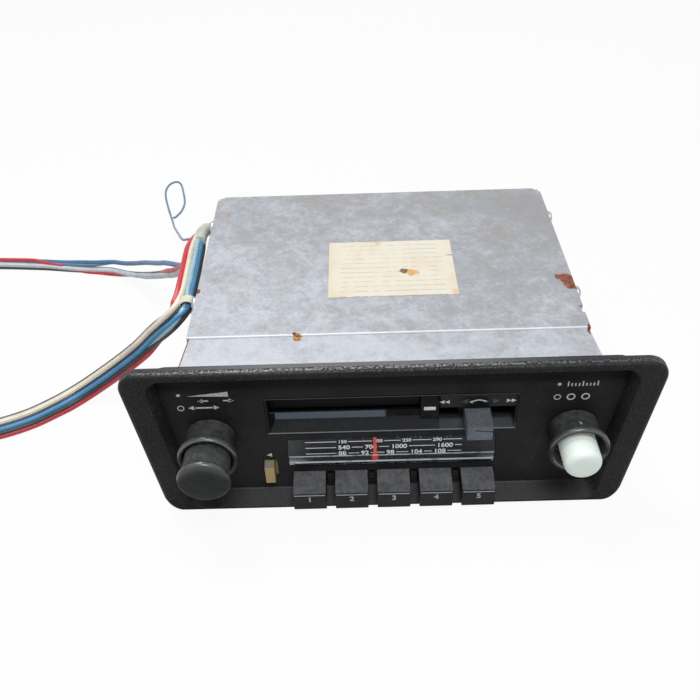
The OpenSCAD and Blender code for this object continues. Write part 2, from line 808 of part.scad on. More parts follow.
// Moulded fascia: rim, sloping recess and flat panel with its openings
module fascia() color([0.1, 0.1, 0.11]) difference() {
  union() {
    along_y(rim_y, rim_y + rim_depth) polygon(outer_outline);
    along_y(rim_y + 1, front_y) polygon(dish_outline);
    loft(chin_edge, rim_y - chin_reach, chin_foot, rim_y + 1);
  }
  loft(recess_outline, rim_y - 0.01, panel_outline, panel_y);
  difference() {
    along_y(rim_y + fascia_t, rim_y + rim_depth + over) polygon(hollow_outline);
    along_y(rim_y, front_y) polygon(rounded(trapezoid(side_rim - fascia_t, 0, fascia_h - 2.2), recess_r));
  }
  along_y(rim_y, front_y + over) {
    translate([-slot_w / 2, slot_z]) square([slot_w, slot_h]);
    translate([-dial_w / 2, dial_z]) square([dial_w, dial_h]);
    for (x = key_xs)
      translate([x - key_w / 2 - key_fit, crease_z])
        square([key_w + 2 * key_fit, key_top - crease_z + key_fit]);
    translate([rev_x - rev_w / 2 - rev_fit, rev_z - rev_fit])
      square([rev_w + 2 * rev_fit + rev_gap, rev_h + 2 * rev_fit]);
  }
  for (s = [-1, 1]) bar_y(s * knob_x, knob_z, bushing_d + 1.6, rim_y, front_y + over);
}

// Surround of the tape slot, with the entry ramp, its lip and the lever's opening
module slot_tray() color([0.13, 0.13, 0.14]) difference() {
  union() {
    box([-tray_front_x, panel_y, slot_z + seat_gap], [tray_front_x, tray_y, slot_z + slot_h - seat_gap]);
    box([-tray_front_x - tray_flange_w, front_y, slot_z - tray_flange_low],
        [tray_front_x + tray_flange_w, front_y + tray_flange_t, slot_z + slot_h + tray_flange_high]);
    for (x = [mouth_x0 - ear_gap - ear_t, mouth_x1 + ear_gap])
      box([x, front_y + tray_flange_t - 0.1, door_z - ear_half],
          [x + ear_t, door_y + ear_half, door_z + ear_half]);
    for (z = [carriage_z0 - 0.3 - rail_t, carriage_z0 + carriage_h + 0.3])
      box([transport_x0 - 2, tray_y - over, z], [transport_x1 + 2, tray_y + track_d, z + rail_t]);
  }
  box([mouth_x0, panel_y - over, lip_z], [mouth_x1, tray_y + over, mouth_top]);
  loft([[mouth_x0, ramp_z], [mouth_x1, ramp_z], [mouth_x1, mouth_top], [mouth_x0, mouth_top]],
       panel_y - 0.01,
       [[mouth_x0 + cheek, ramp_top], [mouth_x1, ramp_top], [mouth_x1, mouth_top],
        [mouth_x0 + cheek, mouth_top]],
       lip_y);
  along_x(mouth_x1 - 0.01, transport_x0) polygon([
    [panel_y - over, ramp_z], [panel_y, ramp_z], [block_y, block_foot], [block_y, mouth_top],
    [panel_y - over, mouth_top]]);
  along_x(transport_x0, transport_x1) polygon([
    [panel_y - over, ramp_z], [panel_y, ramp_z], [panel_y + ledge_d, transport_ledge],
    [tray_y + over, transport_ledge], [tray_y + over, transport_top], [panel_y - over, transport_top]]);
  box([transport_x0, panel_y - over, transport_top - 0.01],
      [transport_x1, panel_y + plate_t - plate_proud, mouth_top]);
  bar_x(door_y, door_z, door_pin_d + 2 * running, mouth_x0 - 4, mouth_x1 + 4);
}

// Cassette door that hangs behind the slot and swings inwards
module cassette_door() color([0.08, 0.08, 0.09]) {
  bar_x(door_y, door_z, 2 * door_barrel_r, mouth_x0 + 0.2, mouth_x1 - 0.2);
  bar_x(door_y, door_z, door_pin_d, mouth_x0 + 0.2 - door_pin_len, mouth_x1 - 0.2 + door_pin_len);
  box([mouth_x0 + 0.2, door_y - door_t / 2, lip_z + 0.3], [mouth_x1 - 0.2, door_y + door_t / 2, door_z]);
}

// Glossy plate above the lever
module transport_plate() color("black")
  box([transport_x0 + seat_gap, panel_y - plate_proud, transport_top + seat_gap],
      [transport_x1 - seat_gap, panel_y + plate_t - plate_proud, mouth_top - seat_gap]);

// Small white indicator between the slot and the lever
module indicator_lens() color("white") {
  mid = (mouth_x1 + transport_x0) / 2;
  box([mid - indicator_w / 2, block_y - indicator_t, indicator_z],
      [mid + indicator_w / 2, block_y, indicator_z + indicator_h]);
}

// Scale plate with end walls that hold the pointer's rail
module dial_scale() color([0.05, 0.05, 0.06]) {
  box([-scale_x, scale_y, scale_z0], [scale_x, scale_y + scale_t, scale_z1]);
  for (s = [-1, 1])
    box([min(s * scale_x, s * (scale_x + scale_wall)), front_y, scale_z0],
        [max(s * scale_x, s * (scale_x + scale_wall)), rail_y + rail_d, scale_z1]);
}

// Clear window, thicker towards its lower edge, with a flange behind the panel
module dial_lens() color([0.8, 0.85, 0.9, 0.4]) {
  along_x(-lens_x, lens_x) polygon([
    [front_y + lens_seat, lens_z0], [front_y + lens_seat, lens_z1], [panel_y - lens_brow, lens_z1],
    [panel_y - lens_proud, lens_z0 + lens_crest], [panel_y - lens_proud, lens_z0 + lens_toe],
    [panel_y, lens_z0]]);
  box([-scale_x + 0.1, front_y, lens_z0 - lens_flange],
      [scale_x - 0.1, front_y + lens_flange_t, lens_z1 + lens_flange]);
}

// Red pointer on a slider
module dial_pointer() color("red") difference() {
  union() {
    box([pointer_x - pointer_w / 2, pointer_y, pointer_foot],
        [pointer_x + pointer_w / 2, pointer_y + pointer_t, pointer_top]);
    box([pointer_x - pointer_w, pointer_y, pointer_foot],
        [pointer_x + pointer_w, rail_y, pointer_foot + pointer_foot_t]);
    box([pointer_x - slider_w / 2, rail_y - slider_half, pointer_foot],
        [pointer_x + slider_w / 2, rail_y + slider_half, rail_z + rail_d / 2 + 1]);
  }
  bar_x(rail_y, rail_z, rail_d + 2 * running, pointer_x - slider_w, pointer_x + slider_w);
}

// Steel rail behind the scale plate
module pointer_rail() color("silver") bar_x(rail_y, rail_z, rail_d, -scale_x, scale_x);

// Dial lamp and its holder on the back of the scale plate
module dial_lamp() color("ivory") {
  lamp_x0 = lamp_x - lamp_len / 2;
  lamp_y = scale_y + scale_t + lamp_stand;
  box([lamp_x0, scale_y + scale_t, lamp_z - lamp_base],
      [lamp_x0 + lamp_base, lamp_y + lamp_base, lamp_z + lamp_base]);
  bar_x(lamp_y, lamp_z, lamp_d, lamp_x0 + lamp_base / 2, lamp_x0 + lamp_len);
}

// Reverse button with a sloping top
module rev_button() color("tan") {
  along_x(rev_x - rev_w / 2, rev_x + rev_w / 2) polygon([
    [panel_y - rev_reach, rev_z], [rev_back, rev_z], [rev_back, rev_z + rev_h],
    [panel_y - rev_reach + rev_bevel, rev_z + rev_h], [panel_y - rev_reach, rev_z + rev_h - rev_top_drop]]);
  box([rev_x - rev_w / 2 - rev_flange, front_y + 0.3, rev_z - rev_flange],
      [rev_x + rev_w / 2 + rev_flange, front_y + 0.3 + rev_flange_t, rev_z + rev_h + rev_flange]);
}

// Preset key with its plunger
module preset_key(i) color([0.22, 0.22, 0.24]) {
  x = key_xs[i];
  along_x(x - key_w / 2, x + key_w / 2) polygon([
    [panel_y - key_reach, key_base - key_drop], [panel_y - key_reach + key_toe, key_base],
    [key_back, key_base], [key_back, key_top], [panel_y, key_top], [panel_y - key_reach, key_edge]]);
  box([x - plunger_w / 2, key_back - over, plunger_z],
      [x + plunger_w / 2, plunger_back, plunger_z + plunger_t]);
}

// Carriage that moves the lever from side to side
module transport_carriage() color("gray") difference() {
  box([lever_x - carriage_w / 2, carriage_y, carriage_z0],
      [lever_x + carriage_w / 2, carriage_y + carriage_t, carriage_z0 + carriage_h]);
  box([lever_x - stem_w / 2 - 0.3, carriage_y - over, stem_z - 0.3],
      [lever_x + stem_w / 2 + 0.3, carriage_y + carriage_t + over, stem_z + stem_h + 0.3]);
}

// Lever grip with its stem through the carriage
module transport_lever() color([0.25, 0.26, 0.28]) {
  along_x(lever_x - lever_w / 2, lever_x + lever_w / 2) polygon([
    [panel_y - lever_reach, lever_z], [panel_y, lever_z], [lever_back, lever_z + lever_toe],
    [lever_back, lever_z + lever_h + lever_crown], [panel_y, lever_z + lever_h + lever_crown],
    [panel_y - lever_reach, lever_z + lever_h]]);
  box([lever_x - stem_w / 2, lever_back - over, stem_z], [lever_x + stem_w / 2, stem_back, stem_z + stem_h]);
}

// Flared ring knob round a control shaft
module ring_knob(x) turned(x, knob_z, [
  [tube_r + running, ring_web_y], [tube_r + running, ring_web_y + ring_web_t],
  [ring_back_d / 2, ring_web_y + ring_web_t], [ring_back_d / 2, ring_base_y],
  [ring_base_d / 2, ring_base_y], [ring_base_d / 2, ring_front + ring_neck],
  [ring_rim_d / 2 - ring_round, ring_front + ring_flare], [ring_rim_d / 2, ring_front + ring_crest],
  [ring_rim_d / 2, ring_front + ring_round], [ring_rim_d / 2 - ring_round, ring_front],
  [ring_cavity_d / 2 + ring_round, ring_front], [ring_cavity_d / 2, ring_front + ring_round],
  [ring_cavity_d / 2, ring_web_y]]);

// Brass tube that carries a ring knob
module ring_tube(x) difference() {
  bar_y(x, knob_z, tube_d, tube_front, tube_back);
  bar_y(x, knob_z, shaft_d + 2 * running, tube_front - over, tube_back + over);
}

// Body behind the front plate with the bushing that carries both shafts
module control(x, back) difference() {
  union() {
    bar_y(x, knob_z, control_d, inside_y, back);
    bar_y(x, knob_z, bushing_d, bushing_front, inside_y + over);
  }
  bar_y(x, knob_z, tube_d + 2 * running, bushing_front - over, tube_back + 0.3);
  bar_y(x, knob_z, shaft_d + 2 * running, tube_back, back + over);
}

module fader_ring() color([0.12, 0.12, 0.13]) ring_knob(-knob_x);
module mono_ring() color([0.12, 0.12, 0.13]) ring_knob(knob_x);
module fader_shaft() color("goldenrod") ring_tube(-knob_x);
module mono_shaft() color("goldenrod") ring_tube(knob_x);
module volume_control() color("silver") control(-knob_x, control_back);
module tuning_block() color("silver") control(knob_x, control_back);

// Volume knob: knurled neck under a wider, slightly domed cap
module volume_knob() color([0.14, 0.14, 0.15]) turned(-knob_x, knob_z, [
  [0, tip_y], [volume_d / 2 - 2 * cap_edge, tip_y + cap_dome],
  [volume_d / 2 - cap_edge / 2, tip_y + cap_face], [volume_d / 2, tip_y + cap_edge],
  [volume_d / 2, cap_back - cap_round], [volume_d / 2 - cap_round, cap_back],
  [neck_d / 2, cap_back], [neck_d / 2, neck_back],
  [shaft_r + running, neck_back], [shaft_r + running, shaft_front], [0, shaft_front]]);

// Steel shaft inside the fader tube
module volume_shaft() color("lightgray") bar_y(-knob_x, knob_z, shaft_d, shaft_front + 0.2, shaft_back);

// Collar that the shaft pushes and pulls to select its second function
module volume_selector() color("darkgray") difference() {
  bar_y(-knob_x, knob_z, selector_d, selector_y, selector_y + selector_t);
  bar_y(-knob_x, knob_z, shaft_d + 2 * running, selector_y - over, selector_y + selector_t + over);
}

// Bare white tuning shaft, thick at the front where its knob would sit
module tuning_shaft() color("white") turned(knob_x, knob_z, concat(
  [[0, tuning_front]],
  [for (a = [-90:15:0])
    [tuning_d / 2 - tuning_round, tuning_front + tuning_round] + tuning_round * [cos(a), sin(a)]],
  [[tuning_d / 2, tuning_step], [shaft_r, tuning_step], [shaft_r, tuning_back], [0, tuning_back]]));

// Main board with its soldered parts
module main_board() color("darkgreen") {
  box([board_x0, board_y0, board_z], [board_x1, board_y1, board_z + board_t]);
  for (p = big_cans) bar_z(p[0], p[1], big_can_d, board_z, board_z + board_t + big_can_h);
  for (p = small_cans) bar_z(p[0], p[1], small_can_d, board_z, board_z + board_t + small_can_h);
  box([amp_x, board_y1 - amp_inset - amp_t, board_z],
      [amp_x + amp_w, board_y1 - amp_inset, board_z + board_t + amp_h]);
  for (y = chip_ys) box([chip_x, y, board_z], [chip_x + chip_w, y + chip_d, board_z + board_t + chip_h]);
}

// Open tuner box with guide slots for the plungers and the coil formers
module tuner_box() color("lightgray") difference() {
  union() {
    difference() {
      box([-tuner_x, tuner_y0, floor_z], [tuner_x, tuner_y1, tuner_top]);
      box([-tuner_x + tuner_wall, tuner_y0 + tuner_wall, floor_z + tuner_wall],
          [tuner_x - tuner_wall, tuner_y1 - tuner_wall, tuner_top + over]);
    }
    for (x = core_xs) bar_y(x, core_z, former_d, tuner_y1 - tuner_wall, former_back);
  }
  for (x = core_xs) bar_y(x, core_z, core_d + 2 * running, tuner_y1 - 2 * tuner_wall, former_back + over);
  for (x = key_xs)
    box([x - plunger_w / 2 - 0.3, tuner_y0 - over, plunger_z - 0.3],
        [x + plunger_w / 2 + 0.3, tuner_y0 + tuner_wall + over, plunger_z + plunger_t + 0.3]);
}

// Three tuning cores on a common bar
module tuner_cores() color("dimgray") {
  box([-core_bar_half, core_bar_y, core_z - core_bar_h / 2],
      [core_bar_half, core_bar_y + core_bar_t, core_z + core_bar_h / 2]);
  for (x = core_xs) bar_y(x, core_z, core_d, core_bar_y + core_bar_t - over, core_tip);
}

// Deck plate with its side wings, bearings, cradle guide and motor posts
module deck_plate() color("silver") difference() {
  union() {
    box([deck_x0, deck_y0, deck_z], [deck_x1, deck_y1, deck_top]);
    box([-inner_x, wing_y0, deck_z], [inner_x, wing_y1, deck_top]);
    for (y = [capstan_front_y, capstan_rear_y])
      bar_z(capstan_x, y, bearing_d, deck_z - bearing_len, deck_top);
    for (a = motor_post_angles)
      bar_z(motor_x + motor_post_ring * cos(a), motor_y + motor_post_ring * sin(a), motor_post_d,
            motor_top, deck_top);
    box([cradle_x0 - guide_gap - guide_t, guide_y0, deck_z], [cradle_x0 - guide_gap, guide_y1, guide_top]);
  }
  for (y = [capstan_front_y, capstan_rear_y])
    bar_z(capstan_x, y, capstan_d + 2 * running, deck_z - bearing_len - over, deck_top + over);
  for (y = [reel_front_y, reel_rear_y])
    bar_z(reel_x, y, reel_shaft_d + 2 * running, deck_z - over, deck_top + over);
}

// Sheet-metal cradle that carries the cassette down on to the spindles
module cassette_cradle() color("lightgray") {
  box([cradle_x0, cradle_y0, cradle_top], [cradle_x1 + cradle_t, cradle_y1, cradle_top + cradle_t]);
  box([cradle_x0, cradle_y0, cradle_floor], [cradle_x0 + cradle_t, cradle_y1, cradle_top + cradle_t]);
  box([cradle_x0, cradle_y0, cradle_floor],
      [cradle_x0 + cradle_t + cradle_lip, cradle_y1, cradle_floor + cradle_t]);
  box([cradle_x0, cradle_y1 - cradle_t, cradle_floor],
      [cradle_x1 + cradle_t, cradle_y1, cradle_top + cradle_t]);
  for (y = cradle_arms) {
    box([cradle_x1, y[0], cradle_floor], [cradle_x1 + cradle_t, y[1], cradle_top + cradle_t]);
    box([cradle_x1 - cradle_lip, y[0], cradle_floor], [cradle_x1 + cradle_t, y[1], cradle_floor + cradle_t]);
  }
}

// Sliding plate that carries the head and the pinch rollers
module head_plate() color("gray") {
  box([head_x, head_y0, head_z], [head_x + head_w, head_y1, head_z + head_t]);
  for (y = [capstan_front_y, capstan_rear_y])
    bar_z(pinch_x, y, pinch_post_d, head_z, pinch_z + pinch_h + 1);
}

// Tape head on the sliding plate
module tape_head() color("gainsboro")
  box([mouth_x1 + 1.8, tape_y - tape_head_d / 2, head_z + head_t],
      [mouth_x1 + 1.8 + tape_head_w, tape_y + tape_head_d / 2, head_z + head_t + tape_head_h]);

// Rubber pinch roller
module pinch_roller(y) color("black") difference() {
  bar_z(pinch_x, y, pinch_d, pinch_z, pinch_z + pinch_h);
  bar_z(pinch_x, y, pinch_post_d + 2 * running, pinch_z - over, pinch_z + pinch_h + over);
}

// Motor hung under the deck plate
module drive_motor() color("lightgray") difference() {
  bar_z(motor_x, motor_y, motor_d, motor_z, motor_top);
  bar_z(motor_x, motor_y, pulley_shaft_d + 2 * running, motor_top - pulley_shaft_depth - 0.5,
        motor_top + over);
}

// Motor pulley on its shaft
module motor_pulley() color("goldenrod") {
  bar_z(motor_x, motor_y, pulley_d, flywheel_z, flywheel_z + flywheel_t);
  bar_z(motor_x, motor_y, pulley_shaft_d, motor_top - pulley_shaft_depth, flywheel_z + over);
}

// Flat belt round the pulley and the front flywheel, running past the rear flywheel
module drive_belt() color([0.06, 0.06, 0.06]) translate([0, 0, belt_z]) linear_extrude(belt_h) difference() {
  belt_loop(belt_gap + belt_t);
  belt_loop(belt_gap);
}
module belt_loop(grow) hull() {
  translate([motor_x, motor_y]) circle(r = pulley_d / 2 + grow, $fn = 32);
  translate([capstan_x, capstan_front_y]) circle(r = flywheel_d / 2 + grow, $fn = 48);
}

// Flywheel with its capstan
module flywheel(y) color("slategray") {
  bar_z(capstan_x, y, flywheel_d, flywheel_z, flywheel_z + flywheel_t);
  bar_z(capstan_x, y, capstan_d, flywheel_z, capstan_top);
}

// Reel spindle with its gear below the deck and splines above
module reel_spindle(y) color("ivory") {
  bar_z(reel_x, y, reel_gear_d, reel_gear_z, reel_gear_z + reel_gear_t);
  bar_z(reel_x, y, reel_shaft_d, reel_gear_z, deck_top + 1);
  bar_z(reel_x, y, reel_hub_d - 2 * reel_spline_t, deck_top + 0.4, reel_hub_top);
  for (a = [0:60:120]) translate([reel_x, y, deck_top + 0.4]) rotate(a)
    translate([-reel_hub_d / 2, -reel_spline_t / 2, 0])
      cube([reel_hub_d, reel_spline_t, reel_hub_top - deck_top - 1]);
}

// Wires that leave the left side and their connectors
module harness_main() color("steelblue") tube(main_route, bundle_d);
module harness_branch() color("firebrick") tube(branch_route, branch_d);
module harness_loop() color("royalblue") tube(loop_route, wire_d);
module main_connector() color("ivory") end_block(main_route, connector_len, connector_w, connector_h);
module branch_connector() color("ivory")
  end_block(branch_route, branch_connector_len, branch_connector_w, branch_connector_h);

chassis_frame();
top_cover();
bottom_cover();
rear_panel();
cover_screws();
heat_sink();
rear_stud();
antenna_socket();
harness_grommet();
cable_clip();
rating_label();
fascia();
slot_tray();
cassette_door();
transport_plate();
indicator_lens();
dial_scale();
dial_lens();
dial_pointer();
pointer_rail();
dial_lamp();
rev_button();
preset_key(0);  // preset_key_1
preset_key(1);  // preset_key_2
preset_key(2);  // preset_key_3
preset_key(3);  // preset_key_4
preset_key(4);  // preset_key_5
transport_carriage();
transport_lever();
fader_ring();
fader_shaft();
volume_knob();
volume_shaft();
volume_selector();
volume_control();
mono_ring();
mono_shaft();
tuning_shaft();
tuning_block();
main_board();
tuner_box();
tuner_cores();
deck_plate();
cassette_cradle();
head_plate();
tape_head();
pinch_roller(capstan_front_y);  // pinch_roller_front
pinch_roller(capstan_rear_y);  // pinch_roller_rear
drive_motor();
motor_pulley();
drive_belt();
flywheel(capstan_front_y);  // flywheel_front
flywheel(capstan_rear_y);  // flywheel_rear
reel_spindle(reel_front_y);  // reel_spindle_front
reel_spindle(reel_rear_y);  // reel_spindle_rear
harness_main();
harness_branch();
harness_loop();
main_connector();
branch_connector();
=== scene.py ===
import math

import bmesh
import bpy
from mathutils import Matrix, Vector


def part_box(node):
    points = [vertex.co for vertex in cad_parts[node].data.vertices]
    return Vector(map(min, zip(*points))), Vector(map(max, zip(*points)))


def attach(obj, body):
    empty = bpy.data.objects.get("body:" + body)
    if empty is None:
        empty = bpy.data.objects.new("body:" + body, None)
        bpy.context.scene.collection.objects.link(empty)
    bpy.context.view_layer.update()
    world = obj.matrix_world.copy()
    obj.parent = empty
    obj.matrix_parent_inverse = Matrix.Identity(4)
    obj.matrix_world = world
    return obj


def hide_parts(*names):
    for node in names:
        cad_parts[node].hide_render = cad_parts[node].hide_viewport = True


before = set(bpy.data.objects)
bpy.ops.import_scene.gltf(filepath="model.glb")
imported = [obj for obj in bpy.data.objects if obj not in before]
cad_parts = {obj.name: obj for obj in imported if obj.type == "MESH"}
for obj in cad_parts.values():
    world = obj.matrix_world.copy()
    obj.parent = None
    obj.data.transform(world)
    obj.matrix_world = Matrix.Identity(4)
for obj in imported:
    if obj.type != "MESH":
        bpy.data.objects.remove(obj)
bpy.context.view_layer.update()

# Studio: a pale floor under an even sky, one large soft lamp above and one high in front.
# Floor and sky show white to the eye and in reflections, and the floor keeps a faint shadow.
# The camera stands where the photograph was taken from.
mm = 0.001
deg = math.pi / 180
camera_place = (-0.01173, -0.31946, 0.29163)
camera_swing = 1.057 * deg
camera_tilt = 50.15 * deg
camera_roll = -2.256 * deg
sensor_width = 36
camera_lens = 820 / 700 * sensor_width
sky_level = 0.2
floor_grey = (0.45, 0.45, 0.45, 1)
floor_glow = 1.08
floor_white = 0.86
floor_half = 4.0
floor_level = -0.1 * mm


class Shade:
    """A socket in a node tree. Arithmetic on it adds Math nodes."""

    def __init__(self, nodes, socket):
        self.nodes = nodes
        self.socket = socket

    def __add__(self, other):
        return self.nodes.maths("ADD", self, other)

    def __sub__(self, other):
        return self.nodes.maths("SUBTRACT", self, other)

    def __rsub__(self, other):
        return self.nodes.maths("SUBTRACT", other, self)

    def __mul__(self, other):
        return self.nodes.maths("MULTIPLY", self, other)

    def __truediv__(self, other):
        return self.nodes.maths("DIVIDE", self, other)

    def __gt__(self, other):
        return self.nodes.maths("GREATER_THAN", self, other)

    def __lt__(self, other):
        return self.nodes.maths("LESS_THAN", self, other)

    def __abs__(self):
        return self.nodes.maths("ABSOLUTE", self, 0)

    __radd__ = __add__
    __rmul__ = __mul__


class Nodes:
    """A node tree under construction."""

    def __init__(self, tree):
        self.tree = tree
        self.tree.nodes.clear()

    def node(self, kind, settings=(), sockets=(), output=0):
        """Adds a node: its settings first, then its sockets by name or place, as values or links."""
        made = self.tree.nodes.new(kind)
        for name, value in dict(settings).items():
            setattr(made, name, value)
        for name, value in dict(sockets).items():
            if isinstance(value, Shade):
                self.tree.links.new(value.socket, made.inputs[name])
            else:
                made.inputs[name].default_value = value
        return Shade(self, made.outputs[output]) if made.outputs else None

    def maths(self, operation, a, b):
        return self.node("ShaderNodeMath", {"operation": operation}, {0: a, 1: b})

    def seen(self):
        """1 on rays from the eye, or from a reflection or a clear piece, and 0 on the others."""
        names = ("Is Camera Ray", "Is Glossy Ray", "Is Transmission Ray")
        camera, glossy, clear = (self.node("ShaderNodeLightPath", output=n) for n in names)
        return 1 - (1 - camera) * (1 - glossy) * (1 - clear)


def placed(name, data):
    """An object in the scene, at the origin."""
    made = bpy.data.objects.new(name, data)
    bpy.context.scene.collection.objects.link(made)
    return made


def lamp(name, place, aim, size, watts):
    """A square soft lamp that points at a place on the radio."""
    data = bpy.data.lights.new(name, "AREA")
    data.size = size
    data.energy = watts
    made = placed(name, data)
    made.location = place
    made.rotation_mode = "QUATERNION"
    made.rotation_quaternion = (Vector(aim) - Vector(place)).to_track_quat("-Z", "Y")


sky = bpy.data.worlds.new("sky")
sky.use_nodes = True
bpy.context.scene.world = sky
air = Nodes(sky.node_tree)
glow = air.node("ShaderNodeBackground", {}, {"Strength": sky_level + (1 - sky_level) * air.seen()})
air.node("ShaderNodeOutputWorld", {}, {"Surface": glow})

ground = bpy.data.materials.new("pale floor")
ground.use_nodes = True
cloth = Nodes(ground.node_tree)
lit = cloth.node("ShaderNodeBsdfDiffuse", {}, {"Color": floor_grey})
white = cloth.node("ShaderNodeEmission", {}, {"Strength": floor_glow})
both = cloth.node("ShaderNodeMixShader", {}, {0: floor_white * cloth.seen(), 1: lit, 2: white})
cloth.node("ShaderNodeOutputMaterial", {}, {"Surface": both})

floor_mesh = bpy.data.meshes.new("floor")
floor_corners = [(x * floor_half, y * floor_half, floor_level)
                 for x, y in ((-1, -1), (1, -1), (1, 1), (-1, 1))]
floor_mesh.from_pydata(floor_corners, [], [(0, 1, 2, 3)])
floor_mesh.materials.append(ground)
placed("floor", floor_mesh)

lamp("overhead lamp", (-0.3, 0.2, 1.0), (0, 0, 0.05), 0.3, 4.8)
lamp("front lamp", (0.08, -0.7, 1.34), (0, -0.05, 0.04), 0.55, 11.0)

camera = placed("camera", bpy.data.cameras.new("camera"))
camera.data.sensor_width = sensor_width
camera.data.lens = camera_lens
camera.data.clip_start = 0.01
swing = Matrix.Rotation(camera_swing, 4, "Z")
tilt = Matrix.Rotation(camera_tilt, 4, "X")
roll = Matrix.Rotation(camera_roll, 4, "Z")
camera.matrix_world = Matrix.Translation(camera_place) @ swing @ tilt @ roll
bpy.context.scene.camera = camera
bpy.context.scene.view_settings.view_transform = "Standard"

# Chassis frame: a folded steel front plate, two side plates and the low strip behind the fascia.
# Zinc-plated and handled for years: cloudy, wiped in streaks, with rust along the cut edges.
zinc_pale = (201, 205, 213)
zinc_dull = (168, 171, 177)
zinc_stain = (166, 162, 157)
zinc_bright = (226, 229, 235)
edge_highlight = (247, 249, 252)
rust_dark = (96, 46, 32)
rust_brown = (142, 78, 52)
rust_orange = (212, 154, 92)
sheet_round = 0.35 * mm
sharp_angle = 30 * deg
flat_angle = 0.5 * deg
merge_within = 0.002 * mm
step_z = 64.6 * mm
flare_edge = 88.2 * mm
flare_start = -38.15 * mm
flare_taper = 2.8 / 32.35
strip_rust = (((-39.8, -39.2, 65.5), 2.3, rust_orange), ((89.3, -39.5, 65), 2.6, rust_brown))


def tint(red, green, blue, share=1.0):
    """A colour from 0 to 255, as the photograph shows it, in linear light; share dims or lifts it."""
    return (*(((c / 255 + 0.055) / 1.055) ** 2.4 * share for c in (red, green, blue)), 1.0)


class Finish(Nodes):
    """A surface finish: colours laid over each other in patterns on the piece's own coordinates."""

    def __init__(self, name):
        self.material = bpy.data.materials.new(name)
        self.material.use_nodes = True
        super().__init__(self.material.node_tree)
        self.here = self.node("ShaderNodeTexCoord", output="Object")
        self.colour = None

    def at(self, scale=(1, 1, 1), shift=(0, 0, 0), turn=(0, 0, 0)):
        """The piece's coordinates, scaled, turned and shifted."""
        sockets = {"Vector": self.here, "Location": shift, "Rotation": turn, "Scale": scale}
        return self.node("ShaderNodeMapping", {}, sockets)

    def axes(self, vector=None):
        """x, y and z as three values."""
        split = {"Vector": vector or self.here}
        return [self.node("ShaderNodeSeparateXYZ", {}, split, axis) for axis in "XYZ"]

    def rise(self):
        """How far the surface faces up, from -1 to 1."""
        return self.axes(self.node("ShaderNodeNewGeometry", output="Normal"))[2]

    def noise(self, scale, detail=3, rough=0.55, warp=0, where=None):
        """Cloudy noise from 0 to 1; scale is in clouds per metre."""
        sockets = {"Vector": where or self.here, "Scale": scale, "Detail": detail}
        sockets |= {"Roughness": rough, "Distortion": warp}
        return self.node("ShaderNodeTexNoise", {}, sockets)

    def cells(self, scale):
        """Distance to the nearest of scattered points, in cells of 1 / scale metres."""
        return self.node("ShaderNodeTexVoronoi", {}, {"Vector": self.here, "Scale": scale})

    def band(self, value, low, high):
        """0 below low, 1 above high, and a smooth step between."""
        settings = {"interpolation_type": "SMOOTHSTEP"}
        return self.node("ShaderNodeMapRange", settings, {"Value": value, "From Min": low, "From Max": high})

    def under(self, value, low, high):
        """1 below low, 0 above high, and a smooth step between."""
        return 1 - self.band(value, low, high)

    def near(self, value, place, full, none):
        """1 within one distance of a place, 0 beyond another, and a smooth step between."""
        return self.under(abs(value - place), full, none)

    def specks(self, scale, dot, patches, gather):
        """Specks of dust that gather in patches; dot and gather are the ends of their smooth steps."""
        return self.under(self.cells(scale), *dot) * self.band(self.noise(patches, 3), *gather)

    def spot(self, centre, radius, ragged=0.5):
        """1 inside a ragged spot; its place and radius are in millimetres."""
        radius = radius * mm
        centre = [c * mm for c in centre]
        settings = {"operation": "DISTANCE"}
        away = self.node("ShaderNodeVectorMath", settings, {0: self.here, 1: centre}, "Value")
        torn = away + (self.noise(420, 4) - 0.5) * (2 * ragged * radius)
        return self.under(torn, 0.75 * radius, radius)

    def mix(self, share, a, b):
        """Colour a where share is 0 and b where it is 1."""
        return self.node("ShaderNodeMix", {"data_type": "RGBA"}, {0: share, 6: a, 7: b}, 2)

    def wash(self, share, colour):
        """Lays a colour from 0 to 255 over the finish, as far as share says."""
        self.colour = self.mix(share, self.colour, tint(*colour))

    def bump(self, height, depth):
        """A normal from a height of 0 to 1, as deep as given in metres."""
        return self.node("ShaderNodeBump", {}, {"Height": height, "Distance": depth})

    def done(self, **sockets):
        """Ends the finish in one shader and gives its material."""
        named = {name.replace("_", " "): value for name, value in sockets.items()}
        shader = self.node("ShaderNodeBsdfPrincipled", {}, {"Base Color": self.colour, **named})
        self.node("ShaderNodeOutputMaterial", {}, {"Surface": shader})
        return self.material


